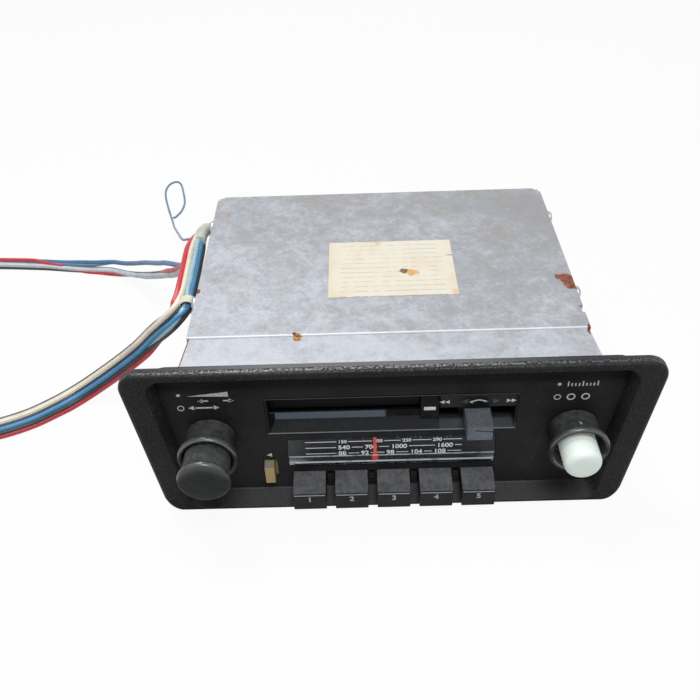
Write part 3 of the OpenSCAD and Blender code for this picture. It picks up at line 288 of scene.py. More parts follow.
def zinc(name, rust_spots=(), highlight_edge_y=None, lighten=0.0, flared=False):
    """Zinc-plated sheet, cloudy and stained; rust in spots and on the flared edge; a painted highlight along
    one edge.
    """
    f = Finish(name)
    x, y, z = f.axes()
    cloud = f.noise(26, 6, 0.6, 0.4)
    patch = f.noise(120, 6, 0.65, 0.5, f.at(turn=(0, 0, 0.7)))
    fleck = f.noise(480, 4, 0.7)
    # Besides the cloud, this makes the sheet lighter towards the left and the front.
    cloudy = cloud * 0.3 + patch * 0.4 + fleck * 0.3 - x * 0.3 - y * 0.5
    shade = f.band(cloudy, 0.38 - 0.1 * lighten, 0.66 - 0.1 * lighten)
    f.colour = f.mix(shade, tint(*zinc_dull), tint(*zinc_pale))
    stain = f.noise(46, 7, 0.72, 0.6, f.at(shift=(3, 1, 0))) + y * 0.9 + x * 0.25
    f.wash(f.band(stain, 0.52, 0.7) * (0.6 - 0.3 * lighten), zinc_stain)
    mottle = f.band(f.noise(290, 5, 0.75, 0.3), 0.5, 0.66)
    f.wash(mottle * (0.32 - 0.15 * lighten), zinc_stain)
    wisp = f.near(f.noise(48, 2, 0.5, 0.8), 0.5, 0.002, 0.009)
    wiped = f.band(f.noise(90, 3, 0.5, 0, f.at(shift=(1, 5, 2))), 0.52, 0.62)
    f.wash(wisp * wiped * 0.3, zinc_bright)
    # Painted highlight: a near-white line along the edge at the step, standing in for the light it catches.
    if highlight_edge_y:
        line = f.near(y, highlight_edge_y, 0.45 * mm, 1.2 * mm) * f.band(z, step_z, step_z + 0.6 * mm)
        f.wash(line * 0.85, edge_highlight)
    rust = 0
    for centre, radius, hue in rust_spots:
        spot = f.spot(centre, radius)
        flake = f.mix(f.band(f.noise(600, 3), 0.42, 0.66), tint(*hue), tint(*rust_dark))
        f.colour = f.mix(spot, f.colour, flake)
        rust = f.maths("MAXIMUM", rust, spot)
    if flared:
        ragged = (f.noise(700, 3) - 0.5) * 0.4 * mm
        inward = (y - flare_start) * flare_taper - x + ragged
        cut = f.band(inward, flare_edge - 0.6 * mm, flare_edge - 0.42 * mm)
        cut = cut * f.under(y, flare_start, flare_start + 1 * mm)
        cut = cut * f.band(f.noise(90, 3) + z * 8, 0.62, 0.95)
        flake = f.mix(f.band(f.noise(420, 4, 0.7), 0.4, 0.62), tint(*rust_brown), tint(*rust_dark))
        f.colour = f.mix(cut, f.colour, flake)
        rust = f.maths("MAXIMUM", rust, cut)
    relief = f.bump(cloud * 0.4 + patch * 0.3 + fleck * 0.3, 0.12 * mm)
    return f.done(Metallic=0.45 - 0.45 * rust, Roughness=0.44 + shade * 0.18, Normal=relief)


def tidy(mesh, flatten=0):
    """Merges doubles, joins faces flatter than an angle, turns normals outwards and sets shading."""
    work = bmesh.new()
    work.from_mesh(mesh)
    bmesh.ops.remove_doubles(work, verts=work.verts, dist=merge_within)
    if flatten:
        bmesh.ops.dissolve_limit(work, angle_limit=flatten, verts=work.verts, edges=work.edges)
    bmesh.ops.recalc_face_normals(work, faces=work.faces)
    work.to_mesh(mesh)
    work.free()
    mesh.shade_smooth()
    mesh.set_sharp_from_angle(angle=sharp_angle)


def eased(made, width, segments=2, rim=0):
    """Eases a piece's edges; rim is the material of the eased edges."""
    bevel = made.modifiers.new("eased edges", "BEVEL")
    bevel.width = width
    bevel.segments = segments
    bevel.limit_method = "ANGLE"
    bevel.angle_limit = sharp_angle
    bevel.material = rim
    bevel.use_clamp_overlap = True
    made.modifiers.new("even shading", "WEIGHTED_NORMAL")
    return made


def fit(made, body, slot, *nodes):
    """Seats a finished piece on its body and lets it stand for its solids."""
    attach(made, body)
    if nodes:
        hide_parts(*nodes)
    return made


def recast(node, name, body, slot, width, finish, segments=2):
    """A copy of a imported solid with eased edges, which stands for it."""
    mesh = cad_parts[node].data.copy()
    mesh.materials.clear()
    tidy(mesh, flat_angle)
    mesh.materials.append(finish)
    fit(eased(placed(name, mesh), width, segments), body, slot, node)


# The frame's sheet is made lighter and less stained than the other zinc sheets.
frame_zinc = zinc("zinc frame", strip_rust, lighten=0.5, flared=True)
recast("chassis_frame", "frame_sheet", "chassis", "frame_steel", sheet_round, frame_zinc)

# Bottom cover, rear panel and rear fittings: plain plated sheet, a finned cast heat sink in dull
# black, a plated stud with its hexagon, and a nickel-plated antenna socket. A black rubber grommet
# lines the hole for the wires.


def metal(name, colour, rough, patchy=0.15, metallic=1.0):
    """Bare or plated metal with fine handling marks."""
    f = Finish(name)
    marks = f.band(f.noise(220, 4, 0.6, 0.6), 0.35, 0.65)
    f.colour = f.mix(marks, tint(*colour, 1 - patchy * 2.2), tint(*colour))
    wear_and_glint = f.band(f.noise(220 / 3, 3), 0.4, 0.7)
    relief = f.bump(f.noise(1320, 2), 0.015 * mm)
    return f.done(Metallic=metallic, Roughness=rough + wear_and_glint * patchy, Normal=relief)


def moulding(name, colour, rough, shine, dust=0.2):
    """Moulded plastic or rubber with settled dust."""
    f = Finish(name)
    tone = f.band(f.noise(90, 4, 0.6, 0.4), 0.35, 0.65)
    f.colour = f.mix(tone * 0.6, tint(*colour), tint(*colour, 1.35))
    film = f.band(f.noise(150, 5, 0.7), 0.45, 0.75) * 0.25
    f.wash((f.specks(420, (0.07, 0.13), 60, (0.5, 0.62)) + film) * dust, (120, 121, 124))
    relief = f.bump(f.noise(1500, 2, 0.5), 0.02 * mm)
    return f.done(Roughness=rough + tone * 0.12, Normal=relief, Specular_IOR_Level=shine)


plated_steel = metal("plated steel", (196, 197, 199), 0.3, 0.12)
black_rubber = moulding("black rubber", (44, 45, 46), 0.7, 0.15, 0.35)
for node, name, slot, finish in (
        ("bottom_cover", "floor_sheet", "cover_zinc", zinc("zinc floor")),
        ("rear_panel", "rear_sheet", "frame_steel", zinc("zinc rear")),
        ("heat_sink", "heat_sink_fins", "sink_aluminium", metal("cast black", (46, 46, 48), 0.5, 0.2, 0.5)),
        ("rear_stud", "rear_stud_bolt", "plated", metal("yellow plate", (186, 160, 104), 0.34)),
        ("antenna_socket", "antenna_cup", "plated", plated_steel)):
    recast(node, name, "chassis", slot, sheet_round, finish)
recast("harness_grommet", "grommet", "chassis", "grommet_rubber", 0.5 * mm, black_rubber, 3)

# Inside: the board and tuner, the tape deck with its motor, belt, flywheels, spindles, head and
# rollers, and the control bodies on the front plate. They keep their solids' own shape and get
# the finish of what each is made of.
board_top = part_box("main_board")[0].z + 1.7 * mm


def dress(finish, *nodes):
    """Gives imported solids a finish."""
    for node in nodes:
        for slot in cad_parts[node].material_slots:
            slot.material = finish


def board_green():
    """Green lacquered board with tin tracks; what stands above it is dark plastic cans."""
    f = Finish("board lacquer")
    track = f.band(abs(f.noise(110, 2, 0.5, 1.5) - 0.5), 0.015, 0.03)
    lacquer = f.mix(track, tint(128, 142, 104), tint(38, 84, 52))
    cans = f.mix(f.noise(200) > 0.5, tint(38, 40, 46), tint(52, 54, 60))
    f.colour = f.mix(f.axes()[2] > board_top, lacquer, cans)
    return f.done(Roughness=0.4 + track * 0.1, Normal=f.bump(track, 0.03 * mm))


dress(board_green(), "main_board")
dress(metal("tinned sheet", (188, 190, 190), 0.4), "tuner_box", "deck_plate", "cassette_cradle", "head_plate")
dress(moulding("ferrite", (66, 66, 70), 0.55, 0.4, 0.1), "tuner_cores")
dress(metal("dark steel", (120, 122, 126), 0.35),
      "drive_motor", "tape_head", "flywheel_front", "flywheel_rear")
dress(metal("turned brass", (196, 158, 92), 0.3, 0.12), "motor_pulley", "fader_shaft", "mono_shaft")
dress(moulding("roller rubber", (38, 38, 40), 0.75, 0.15, 0.05),
      "drive_belt", "pinch_roller_front", "pinch_roller_rear")
dress(plated_steel, "volume_control", "tuning_block", "volume_shaft", "pointer_rail")
dress(moulding("white acetal", (214, 214, 208), 0.4, 0.4, 0.05), "reel_spindle_front", "reel_spindle_rear")
dress(moulding("dark acetal", (44, 45, 48), 0.45, 0.2), "transport_carriage", "volume_selector")
dress(moulding("lamp glass", (226, 222, 206), 0.2, 0.5, 0.05), "dial_lamp")

# Top cover: a flat zinc-plated lid whose front edge steps up from the strip, with a painted highlight along
# it.
# Rust has started on its right edge, at the step and near the rear left corner.
lid_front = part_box("top_cover")[0].y
lid_top_mm = 66
rust_pale = (196, 174, 160)
lid_spots = ((89.3, -4.5, 6.0, rust_brown), (85.8, -0.2, 3.8, rust_brown), (82.5, 1, 2.2, rust_brown),
             (-39.8, -38.4, 1.9, rust_orange), (-41.3, -36.8, 1.1, rust_dark), (-81.8, 66.5, 1.7, rust_pale),
             (-89.3, -3, 2.4, rust_brown), (89.7, -37.5, 2.6, rust_brown))
lid_rust = [((x, y, lid_top_mm), radius, hue) for x, y, radius, hue in lid_spots]
recast("top_cover", "lid_sheet", "chassis", "cover_zinc", sheet_round, zinc("zinc lid", lid_rust, lid_front))

# Cover screws: eight plated pan heads with a cross recess, driven through the covers' flanges.
# One screw is turned and cut, and a tree sets a copy on each seat.
screw_head_r = 3.5 * mm
screw_head_h = 2.4 * mm
screw_shank_r = 1.4 * mm
screw_depth = 4 * mm
cross_long = 2.3 * mm
cross_half = 0.5 * mm
cross_depth = 1 * mm


def solid(name, points, faces, *finishes):
    """A piece from points and faces, with outward normals and smooth shading on its soft edges."""
    mesh = bpy.data.meshes.new(name)
    mesh.from_pydata([tuple(p) for p in points], [], faces)
    tidy(mesh)
    for finish in finishes:
        mesh.materials.append(finish)
    return placed(name, mesh)


def ring_faces(rings, closed=False):
    """Faces between neighbouring rings of point numbers; a ring of one point is a pole."""
    faces = []
    for low, high in zip(rings, rings[1:] + rings[:1] if closed else rings[1:]):
        a, b = len(low), len(high)
        for k in range(max(a, b)):
            corners = (low[k % a], low[(k + 1) % a], high[(k + 1) % b], high[k % b])
            faces.append(list(dict.fromkeys(corners)))
    return faces


def turned(name, profile, steps, place, *finishes, closed=False):
    """A body of revolution: profile is radius and height, place turns it from Z to its axis."""
    points = []
    rings = []
    for radius, height in profile:
        turns = steps if radius > 0 else 1
        rings.append(range(len(points), len(points) + turns))
        for k in range(turns):
            angle = 2 * math.pi * k / turns
            points.append(place @ Vector((radius * math.cos(angle), radius * math.sin(angle), height)))
    return solid(name, points, ring_faces(rings, closed), *finishes)


def settled(made, name):
    """The piece as its modifiers leave it, as a plain mesh; the maker is removed."""
    graph = bpy.context.evaluated_depsgraph_get()
    mesh = bpy.data.meshes.new_from_object(made.evaluated_get(graph))
    bpy.data.objects.remove(made)
    mesh.name = name
    return placed(name, mesh)


def upward(u, v, level):
    """Places an outline in x and y along z."""
    return (u, v, level)


def extruded(name, outline, low, high, to_space, *finishes):
    """A straight bar of a flat outline, from low to high; to_space places outline and height."""
    ends = [range(len(outline)), range(len(outline), 2 * len(outline))]
    points = [to_space(u, v, level) for level in (low, high) for u, v in outline]
    return solid(name, points, ring_faces(ends) + [list(end) for end in ends], *finishes)


class Pattern(Nodes):
    """A Geometry Nodes tree with named sizes, grown once into a plain piece."""

    kinds = {int: "NodeSocketInt", float: "NodeSocketFloat"}

    def __init__(self, name, **sizes):
        super().__init__(bpy.data.node_groups.new(name, "GeometryNodeTree"))
        face = self.tree.interface
        face.new_socket("Geometry", in_out="INPUT", socket_type="NodeSocketGeometry")
        face.new_socket("Geometry", in_out="OUTPUT", socket_type="NodeSocketGeometry")
        self.sizes = {}
        for title, value in sizes.items():
            socket = face.new_socket(title, in_out="INPUT", socket_type=self.kinds[type(value)])
            self.sizes[socket.identifier] = value

    def size(self, title):
        return self.node("NodeGroupInput", output=title)

    def grown(self, name, finish, shape, seats=(), **sockets):
        """Sets a copy of a shape on each point, ends the tree, runs it on the seats and leaves the result."""
        spread = {"Points": self.size("Geometry"), "Instance": shape, **sockets}
        copies = self.node("GeometryNodeInstanceOnPoints", {}, spread)
        real = self.node("GeometryNodeRealizeInstances", {}, {0: copies})
        dressed = self.node("GeometryNodeSetMaterial", {}, {"Geometry": real, "Material": finish})
        self.node("NodeGroupOutput", {}, {0: dressed})
        mesh = bpy.data.meshes.new(name + "_seats")
        mesh.from_pydata(list(seats), [], [])
        maker = placed(name + "_seats", mesh)
        modifier = maker.modifiers.new(self.tree.name, "NODES")
        modifier.node_group = self.tree
        for identifier, value in self.sizes.items():
            modifier[identifier] = value
        return settled(maker, name)


screw_profile = [(0, screw_head_h), (1.7 * mm, 2.3 * mm), (2.8 * mm, 1.85 * mm), (screw_head_r, 0.9 * mm),
                 (screw_head_r, 0), (screw_shank_r, 0), (screw_shank_r, -screw_depth), (0, -screw_depth)]
screw = turned("screw_blank", screw_profile, 24, Matrix.Identity(4))
cross_arm = ((cross_half, cross_half), (cross_half, cross_long), (-cross_half, cross_long))
cross = []
for quarter in range(4):
    turn = Matrix.Rotation(quarter * 90 * deg, 2)
    cross += [tuple(turn @ Vector(p)) for p in cross_arm]
cutter = extruded("screw_cross", cross, screw_head_h - cross_depth, 2 * screw_head_h, upward)
recess_cut = screw.modifiers.new("cross recess", "BOOLEAN")
recess_cut.object = cutter
screw = settled(screw, "screw_shape")
bpy.data.objects.remove(cutter)

screw_low, screw_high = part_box("cover_screws")
screw_seats = [(side * (screw_high.x - screw_head_h), y, z) for side in (-1, 1)
               for y in (screw_low.y + screw_head_r, screw_high.y - screw_head_r)
               for z in (screw_low.z + screw_head_r, screw_high.z - screw_head_r)]
pattern = Pattern("screws on their seats", Turn=0.7)
seat = pattern.node("GeometryNodeInputPosition")
out = pattern.node("ShaderNodeVectorMath", {"operation": "MULTIPLY"}, {0: seat, 1: (1, 0, 0)})
facing = pattern.node("FunctionNodeAlignRotationToVector", {"axis": "Z"}, {"Vector": out})
spun = pattern.node("FunctionNodeAxisAngleToRotation", {}, {"Axis": (0, 0, 1), "Angle": pattern.size("Turn")})
aim = pattern.node("FunctionNodeRotateRotation", {"rotation_space": "LOCAL"}, {0: facing, 1: spun})
shape = pattern.node("GeometryNodeObjectInfo", {}, {"Object": screw}, "Geometry")
screws = pattern.grown("pan_head_screws", plated_steel, shape, screw_seats, Rotation=aim)
bpy.data.objects.remove(screw)
fit(screws, "chassis", "screw_steel", "cover_screws")

# Paper label glued to the lid: cream, yellowed, ruled and left blank, with a rust hole near its
# middle and a small tear in its right edge.
paper_cream = (239, 233, 218)
paper_aged = (234, 223, 196)
paper_rule = (182, 174, 158)
rule_pitch = 3.9 * mm
rule_width = 0.5 * mm
rule_half = 25 * mm
tear_y = 22 * mm
tear_long = 4.5 * mm
tear_half = 0.7 * mm
label_stains = ((13.0, 8.0, 3.1, (226, 172, 96)), (15.8, 7.4, 1.7, (230, 190, 124)),
                (9.4, 9.0, 2.3, (112, 84, 58)), (-2.1, 34.4, 1.7, (236, 200, 158)),
                (33.2, -9, 2.6, (232, 206, 164)))


def label_paper(low, high):
    """Aged paper with broken ruled lines, stains and darker borders."""
    f = Finish("label paper")
    x, y = f.axes()[:2]
    middle = (low.x + high.x) / 2
    half = (high.x - low.x) / 2
    border = f.band(abs(x - middle), half - 6 * mm, half)
    aged = f.band(f.noise(45, 5, 0.6) + border * 0.16, 0.42, 0.75)
    f.colour = f.mix(aged, tint(*paper_cream), tint(*paper_aged))
    step = f.node("ShaderNodeMath", {"operation": "FRACT"}, {0: (y - low.y) / rule_pitch})
    ruled = (step < rule_width / rule_pitch) * f.near(x, middle, rule_half, rule_half + 0.5 * mm)
    patchy = f.band(f.noise(300, 2, 0.6, 0, f.at((1, 0.2, 1))), 0.4, 0.55)
    f.wash(ruled * patchy * 0.6, paper_rule)
    for stain_x, stain_y, radius, hue in label_stains:
        f.wash(f.spot((stain_x, stain_y, high.z / mm), radius, 0.9) * 0.9, hue)
    relief = f.bump(f.noise(120, 4) * 0.7 + f.noise(2500, 2) * 0.3, 0.1 * mm)
    return f.done(Roughness=0.72 + aged * 0.1, Normal=relief)


label_low, label_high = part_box("rating_label")
label_low.x += 0.9 * mm
label_high.x -= 1.2 * mm
label_outline = [(label_low.x, label_low.y), (label_high.x, label_low.y), (label_high.x, tear_y - tear_half),
                 (label_high.x - tear_long, tear_y), (label_high.x, tear_y + tear_half),
                 (label_high.x, label_high.y), (label_low.x, label_high.y)]
paper = label_paper(label_low, label_high)
label = extruded("label_sheet", label_outline, label_low.z, label_high.z, upward, paper)
fit(label, "chassis", "paper", "rating_label")

# Fascia: one black moulding with a grained, rounded rim, a sloping recess and a flat panel that
# holds the slot, dial, keys and shafts. Shell and panel are one piece on the real radio.
fascia_top_w = 222 * mm
fascia_bottom_w = 204 * mm
fascia_h = 80 * mm
fascia_r = 9 * mm
wall = 2.5 * mm
top_wall = 1.6 * mm
side_rim = 11.5 * mm
top_rim = 3.6 * mm
chin_lip = 1.5 * mm
crease_z = 6 * mm
panel_slope = 2.5 * mm
panel_top_slope = 1.4 * mm
recess_r = 6.5 * mm
panel_r = 5 * mm
rim_depth = 5 * mm
rim_round = (3 * mm, 0.7 * mm, 1.7 * mm)
lip_round = 0.6 * mm
corner_steps = 10
recess = 6 * mm
chin_reach = 1.6 * mm
chin_depth = 1.5 * mm
overlap = 0.3 * mm
brow_z, crown_z = 65 * mm, 66 * mm
sheen_x, sheen_half, sheen_end = -15 * mm, 30 * mm, 95 * mm
front_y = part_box("fascia")[1].y
panel_y = front_y - wall
rim_y = panel_y - recess
panel_top = fascia_h - top_rim - panel_top_slope
slot_half, slot_z, slot_h = 53 * mm, 39.5 * mm, 21.5 * mm
dial_half, dial_z, dial_h = 45 * mm, 20 * mm, 16.5 * mm
key_x, key_pitch, key_count = 0.8 * mm, 18.6 * mm, 5
key_hole_half, key_hole_top = 7.7 * mm, 16.2 * mm
rev_hole = (-56.2 * mm, -50.1 * mm, 11.9 * mm, 24.3 * mm)
knob_x, knob_z, knob_hole_r = 77 * mm, 40 * mm, 6 * mm
gap_half, gap_low, gap_high = 1.15 * mm, 12.9 * mm, 16 * mm


def trapezoid(inset, low, high, radius):
    """Rounded outline that follows the fascia's sides at an inset, between two heights."""
    corners = []
    for z, ways in ((low, (-1, 1)), (high, (1, -1))):
        half = fascia_bottom_w / 2 + (fascia_top_w - fascia_bottom_w) / 2 * z / fascia_h - inset
        corners += [Vector((way * half, z)) for way in ways]
    points = []
    for i, corner in enumerate(corners):
        back = (corners[i - 1] - corner).normalized()
        ahead = (corners[(i + 1) % 4] - corner).normalized()
        half_angle = back.angle(ahead) / 2
        centre = corner + (back + ahead).normalized() * radius / math.sin(half_angle)
        start = corner + back * radius / math.tan(half_angle) - centre
        for k in range(corner_steps + 1):
            sweep = (math.pi - 2 * half_angle) * k / corner_steps
            points.append(centre + Matrix.Rotation(sweep, 2) @ start)
    return points


def fascia_rings():
    """Outlines with their y, from the panel's edge over the rim and round to the panel's back."""
    panel_edge = (side_rim + panel_slope, crease_z, panel_top, panel_r)
    yield (*panel_edge, panel_y)
    share = lip_round / (panel_y - rim_y)
    yield (side_rim + panel_slope * share, chin_lip + (crease_z - chin_lip) * share,
           fascia_h - top_rim - panel_top_slope * share, recess_r, rim_y + lip_round)
    yield (side_rim - lip_round / 2, chin_lip - lip_round / 3, fascia_h - top_rim + lip_round / 2,
           recess_r, rim_y)
    for k in range(6):
        angle = k * 18 * deg
        inset, low, top = (reach * (1 - math.sin(angle)) for reach in rim_round)
        yield (inset, low, fascia_h - top, fascia_r - inset, rim_y + rim_round[0] * (1 - math.cos(angle)))
    yield (0, 0, fascia_h, fascia_r, rim_y + rim_depth)
    hollow = (wall, wall, fascia_h - top_wall, fascia_r - wall)
    yield (*hollow, rim_y + rim_depth)
    yield (*hollow, rim_y + wall)
    dish = (side_rim + panel_slope - wall, crease_z - wall, panel_top + wall, panel_r + wall)
    yield (*dish, rim_y + wall)
    yield (*dish, front_y)
    yield (*panel_edge, front_y)


def stood(curve, place, finish):
    """A flat curve as a mesh that faces the front, at a place."""
    made = settled(placed(curve.name + "_curve", curve), curve.name)
    made.data.transform(Matrix.Translation(place) @ Matrix.Rotation(90 * deg, 4, "X"))
    made.data.materials.clear()
    tidy(made.data)
    made.data.materials.append(finish)
    return made


def plate(name, outlines, y_front, y_back, edge, finish):
    """A flat plate across y from outlines in x and z; the inner outlines are holes."""
    curve = bpy.data.curves.new(name, "CURVE")
    curve.dimensions = "2D"
    curve.fill_mode = "BOTH"
    curve.extrude = (y_back - y_front) / 2 - edge
    curve.bevel_depth = edge
    curve.bevel_resolution = 1
    curve.offset = -edge
    for outline in outlines:
        spline = curve.splines.new("POLY")
        spline.points.add(len(outline) - 1)
        for point, (x, z) in zip(spline.points, outline):
            point.co = (x, z, 0, 1)
        spline.use_cyclic_u = True
    return stood(curve, (0, (y_front + y_back) / 2, 0), finish)


def oblong(x0, x1, z0, z1):
    return [(x0, z0), (x1, z0), (x1, z1), (x0, z1)]


def circle(x, z, radius, steps=40):
    turns = [2 * math.pi * k / steps for k in range(steps)]
    return [(x + radius * math.cos(a), z + radius * math.sin(a)) for a in turns]


def joined(name, *pieces):
    """Several pieces as one, with their finishes kept."""
    work = bmesh.new()
    joint = bpy.data.meshes.new(name)
    for made in pieces:
        made = settled(made, made.name)
        base = len(joint.materials)
        first = len(work.faces)
        work.from_mesh(made.data)
        work.faces.ensure_lookup_table()
        for face in work.faces[first:]:
            face.material_index += base
        for finish in made.data.materials:
            joint.materials.append(finish)
        bpy.data.objects.remove(made)
    work.to_mesh(joint)
    work.free()
    return placed(name, joint)


def fascia_plastic():
    """Black grained plastic: pebbled on the rim and shiny along its top, finer on the panel, dusty, with
    painted highlights, light and shadow.
    """
    f = Finish("grained black plastic")
    x, y, z = f.axes()
    up = f.rise()
    pebble = 1 - f.cells(1500)
    rim = f.under(y, panel_y - 0.9 * mm, panel_y - 0.3 * mm)
    tone = f.band(f.noise(70, 4, 0.6, 0.5), 0.35, 0.68)
    f.colour = f.mix(tone, tint(39, 39, 40), tint(48, 48, 49))
    scuff = f.band(f.noise(260, 5, 0.75, 1.0), 0.62, 0.72) * f.band(f.noise(24, 2), 0.5, 0.62)
    f.wash(f.specks(330, (0.05, 0.1), 40, (0.48, 0.62)) * 0.4 + scuff * 0.25, (128, 128, 130))
    grit = f.band(f.noise(900, 3, 0.75), 0.48, 0.68)
    f.wash(grit * (0.06 + 0.24 * rim), (92, 92, 95))
    # Painted highlight: a thin lighter line along the crease above the chin.
    crease_highlight = f.near(z, crease_z, 0.15 * mm, 0.4 * mm) * f.near(y, panel_y, 0.3 * mm, 0.6 * mm)
    f.wash(crease_highlight * 0.5, (104, 104, 106))
    # Painted shadow: the panel darkened under the rim's top, where the rim shades it.
    brow_shadow = f.band(z, brow_z, brow_z + 3 * mm) * (1 - rim)
    f.wash(brow_shadow * 0.8, (26, 26, 27))
    # Painted light: the up-facing chin lightened, mottled by the grain.
    chin_light = f.band(up, 0.4, 0.75) * f.under(z, crease_z, crease_z + 1 * mm)
    f.wash(chin_light * (0.35 + 0.25 * pebble), (88, 88, 90))
    high = f.band(z, crown_z, crown_z + 4 * mm)
    middle = f.near(x, sheen_x, sheen_half, sheen_end)
    # Painted highlight: the rim's top shelf lightened, most in the middle.
    shelf_highlight = f.band(y, rim_y + 2.9 * mm, rim_y + 3.6 * mm) * f.band(up, 0.5, 0.8) * high
    f.wash(shelf_highlight * (0.15 + 0.65 * middle), (132, 132, 134))
    # Painted glints: light specks along the rim's rounded ridge, most in the middle.
    glint_ridge = f.band(y, rim_y + 1.3 * mm, rim_y + 2 * mm) * f.under(y, rim_y + 2.7 * mm, rim_y + 3.4 * mm)
    wear_and_glint = glint_ridge * f.band(up, 0.3, 0.6) * high * f.band(f.noise(850, 3, 0.6), 0.4, 0.64)
    f.wash(wear_and_glint * (0.25 + 0.5 * middle), (182, 184, 190))
    shine = f.band(up, 0.7, 0.9) * f.under(up, 0.98, 1.0) * high * f.band(pebble, 0.25, 0.7)
    relief = f.bump(rim * pebble + (1 - rim) * f.noise(2600, 2, 0.6) * 0.6, 0.2 * mm)
    return f.done(Roughness=0.42 + tone * 0.1, Normal=relief, Specular_IOR_Level=0.06,
                  Coat_Weight=shine * 0.6, Coat_Roughness=0.3)


grained_black = fascia_plastic()
shell_points = []
shell_rings = []
for inset, low, high, radius, y in fascia_rings():
    outline = trapezoid(inset, low, high, radius)
    shell_rings.append(range(len(shell_points), len(shell_points) + len(outline)))
    for p in outline:
        lean = chin_reach * max(1 - p.y / fascia_r, 0) ** 2 if y < rim_y + chin_depth else 0
        shell_points.append((p.x, y - lean, p.y))
shell = solid("fascia_shell", shell_points, ring_faces(shell_rings, True), grained_black)

key_xs = [key_x + (i - (key_count - 1) / 2) * key_pitch for i in range(key_count)]
gap_xs = [(a + b) / 2 for a, b in zip(key_xs, key_xs[1:])]
panel_outline = trapezoid(side_rim + panel_slope - overlap, crease_z - overlap,
                          panel_top + overlap, panel_r + overlap)
openings = [oblong(-slot_half, slot_half, slot_z, slot_z + slot_h),
            oblong(-dial_half, dial_half, dial_z, dial_z + dial_h),
            oblong(*rev_hole)]
openings += [oblong(x - key_hole_half, x + key_hole_half, crease_z, key_hole_top) for x in key_xs]
openings += [oblong(x - gap_half, x + gap_half, gap_low, gap_high) for x in gap_xs]
openings += [circle(side * knob_x, knob_z, knob_hole_r) for side in (-1, 1)]
panel = plate("fascia_panel", [panel_outline, *openings], panel_y, front_y, 0.15 * mm, grained_black)
fit(joined("fascia_moulding", shell, panel), "chassis", "fascia_plastic", "fascia")

# Ribs between the keys: three short steps under each small hole, moulded in one with the fascia
# from the same black plastic. A tree sets a block on each seat.
rib_heights = (7.6 * mm, 9.5 * mm, 11.4 * mm)
rib_seats = [(x, panel_y, z) for x in gap_xs for z in rib_heights]
pattern = Pattern("ribs between keys", Width=2.5 * mm, Depth=1.3 * mm, Height=1.0 * mm)
sides = {axis: pattern.size(title) for axis, title in (("X", "Width"), ("Y", "Depth"), ("Z", "Height"))}
rib = pattern.node("GeometryNodeMeshCube", {}, {"Size": pattern.node("ShaderNodeCombineXYZ", {}, sides)})
fit(pattern.grown("key_gap_ribs", grained_black, rib, rib_seats), "chassis", "fascia_plastic")

# Printed legends on the panel: thin white ink in plain signs. A dot stands for the inner knob and
# a ring for the outer one.
ink_t = 0.05 * mm
inner_z, middle_z, outer_z = 64.1 * mm, 60.6 * mm, 56.8 * mm
right_lift = 0.8 * mm
left_x, right_x = -87.5 * mm, 68.4 * mm


def printed_ink(name, colour, lit=0.0):
    """Screen-printed ink, a little worn; on the dial it is lit from behind."""
    f = Finish(name)
    patchy = f.band(f.noise(700, 3, 0.7), 0.3, 0.55)
    f.colour = f.mix(patchy, tint(*colour, 0.7), tint(*colour))
    return f.done(Roughness=0.5 + patchy * 0.1, Emission_Color=f.colour, Emission_Strength=lit)


def arrow(x, z, size, way=1):
    """A solid triangle that points along x."""
    half = size / 2
    return [(x - way * half, z - half), (x + way * half, z), (x - way * half, z + half)][::way]


def bar(x0, x1, z, thick):
    return oblong(x0, x1, z - thick / 2, z + thick / 2)


def hoop(x, z, outer, inner):
    """A ring as an outline and its hole; both radii are in millimetres."""
    return [circle(x, z, outer * mm, 28), circle(x, z, inner * mm, 28)]


def printed(name, outlines, y, ink):
    """A thin print on a face that looks to the front, at y."""
    return plate(name, outlines, y - ink_t, y, 0, ink)


white_ink = printed_ink("white ink", (226, 228, 230))
legend = [circle(left_x, inner_z, 0.8 * mm, 20), circle(right_x, inner_z + 0.6 * mm, 0.8 * mm, 20)]
legend += hoop(left_x, outer_z, 1.5, 1.1) + hoop(right_x, outer_z + right_lift, 1.5, 1.1)
wedge = [(-84 * mm, inner_z - 0.7 * mm), (-67 * mm, inner_z - 1.3 * mm), (-67 * mm, inner_z + 1.4 * mm)]
legend.append(wedge)
for x, way in ((-79 * mm, -1), (-66 * mm, 1)):
    tail = x - 1.5 * mm * way
    legend += [arrow(x, middle_z, 2.1 * mm, way), bar(tail - 2 * mm, tail + 2 * mm, middle_z, 0.7 * mm)]
legend += [arrow(-83.2 * mm, outer_z, 2.4 * mm, -1), arrow(-72.5 * mm, outer_z, 2.4 * mm),
           bar(-81.5 * mm, -74.2 * mm, outer_z, 0.8 * mm)]
for i in range(9):
    tall = (2.6 if i % 4 == 0 else 1.6) * mm
    x = 72 * mm + i * 1.5 * mm
    legend.append(oblong(x - 0.3 * mm, x + 0.3 * mm, inner_z - 0.6 * mm, inner_z - 0.6 * mm + tall))
for x in (74 * mm, 80 * mm):
    legend += hoop(x, outer_z + right_lift, 1.8, 1.2)
legend.append(arrow(-53.4 * mm, 27.3 * mm, 2.3 * mm, -1))
fit(printed("panel_legends", legend, panel_y, white_ink), "chassis", "white_plastic")

# Slot surround: a smooth black moulding behind the panel, with the entry ramp, a lip that catches
# the light and the lever's opening. Its front edges carry painted highlights. The door hangs behind it.
lip_low, lip_high = 43.7 * mm, 47.3 * mm
lip_front, lip_back = -68 * mm, -67.1 * mm
lip_end = -1.6 * mm
ledge_x, ledge_z = 20.4 * mm, 43.4 * mm
sill_z, lintel_z = 40.4 * mm, 60.3 * mm
tray_front = -72.7 * mm


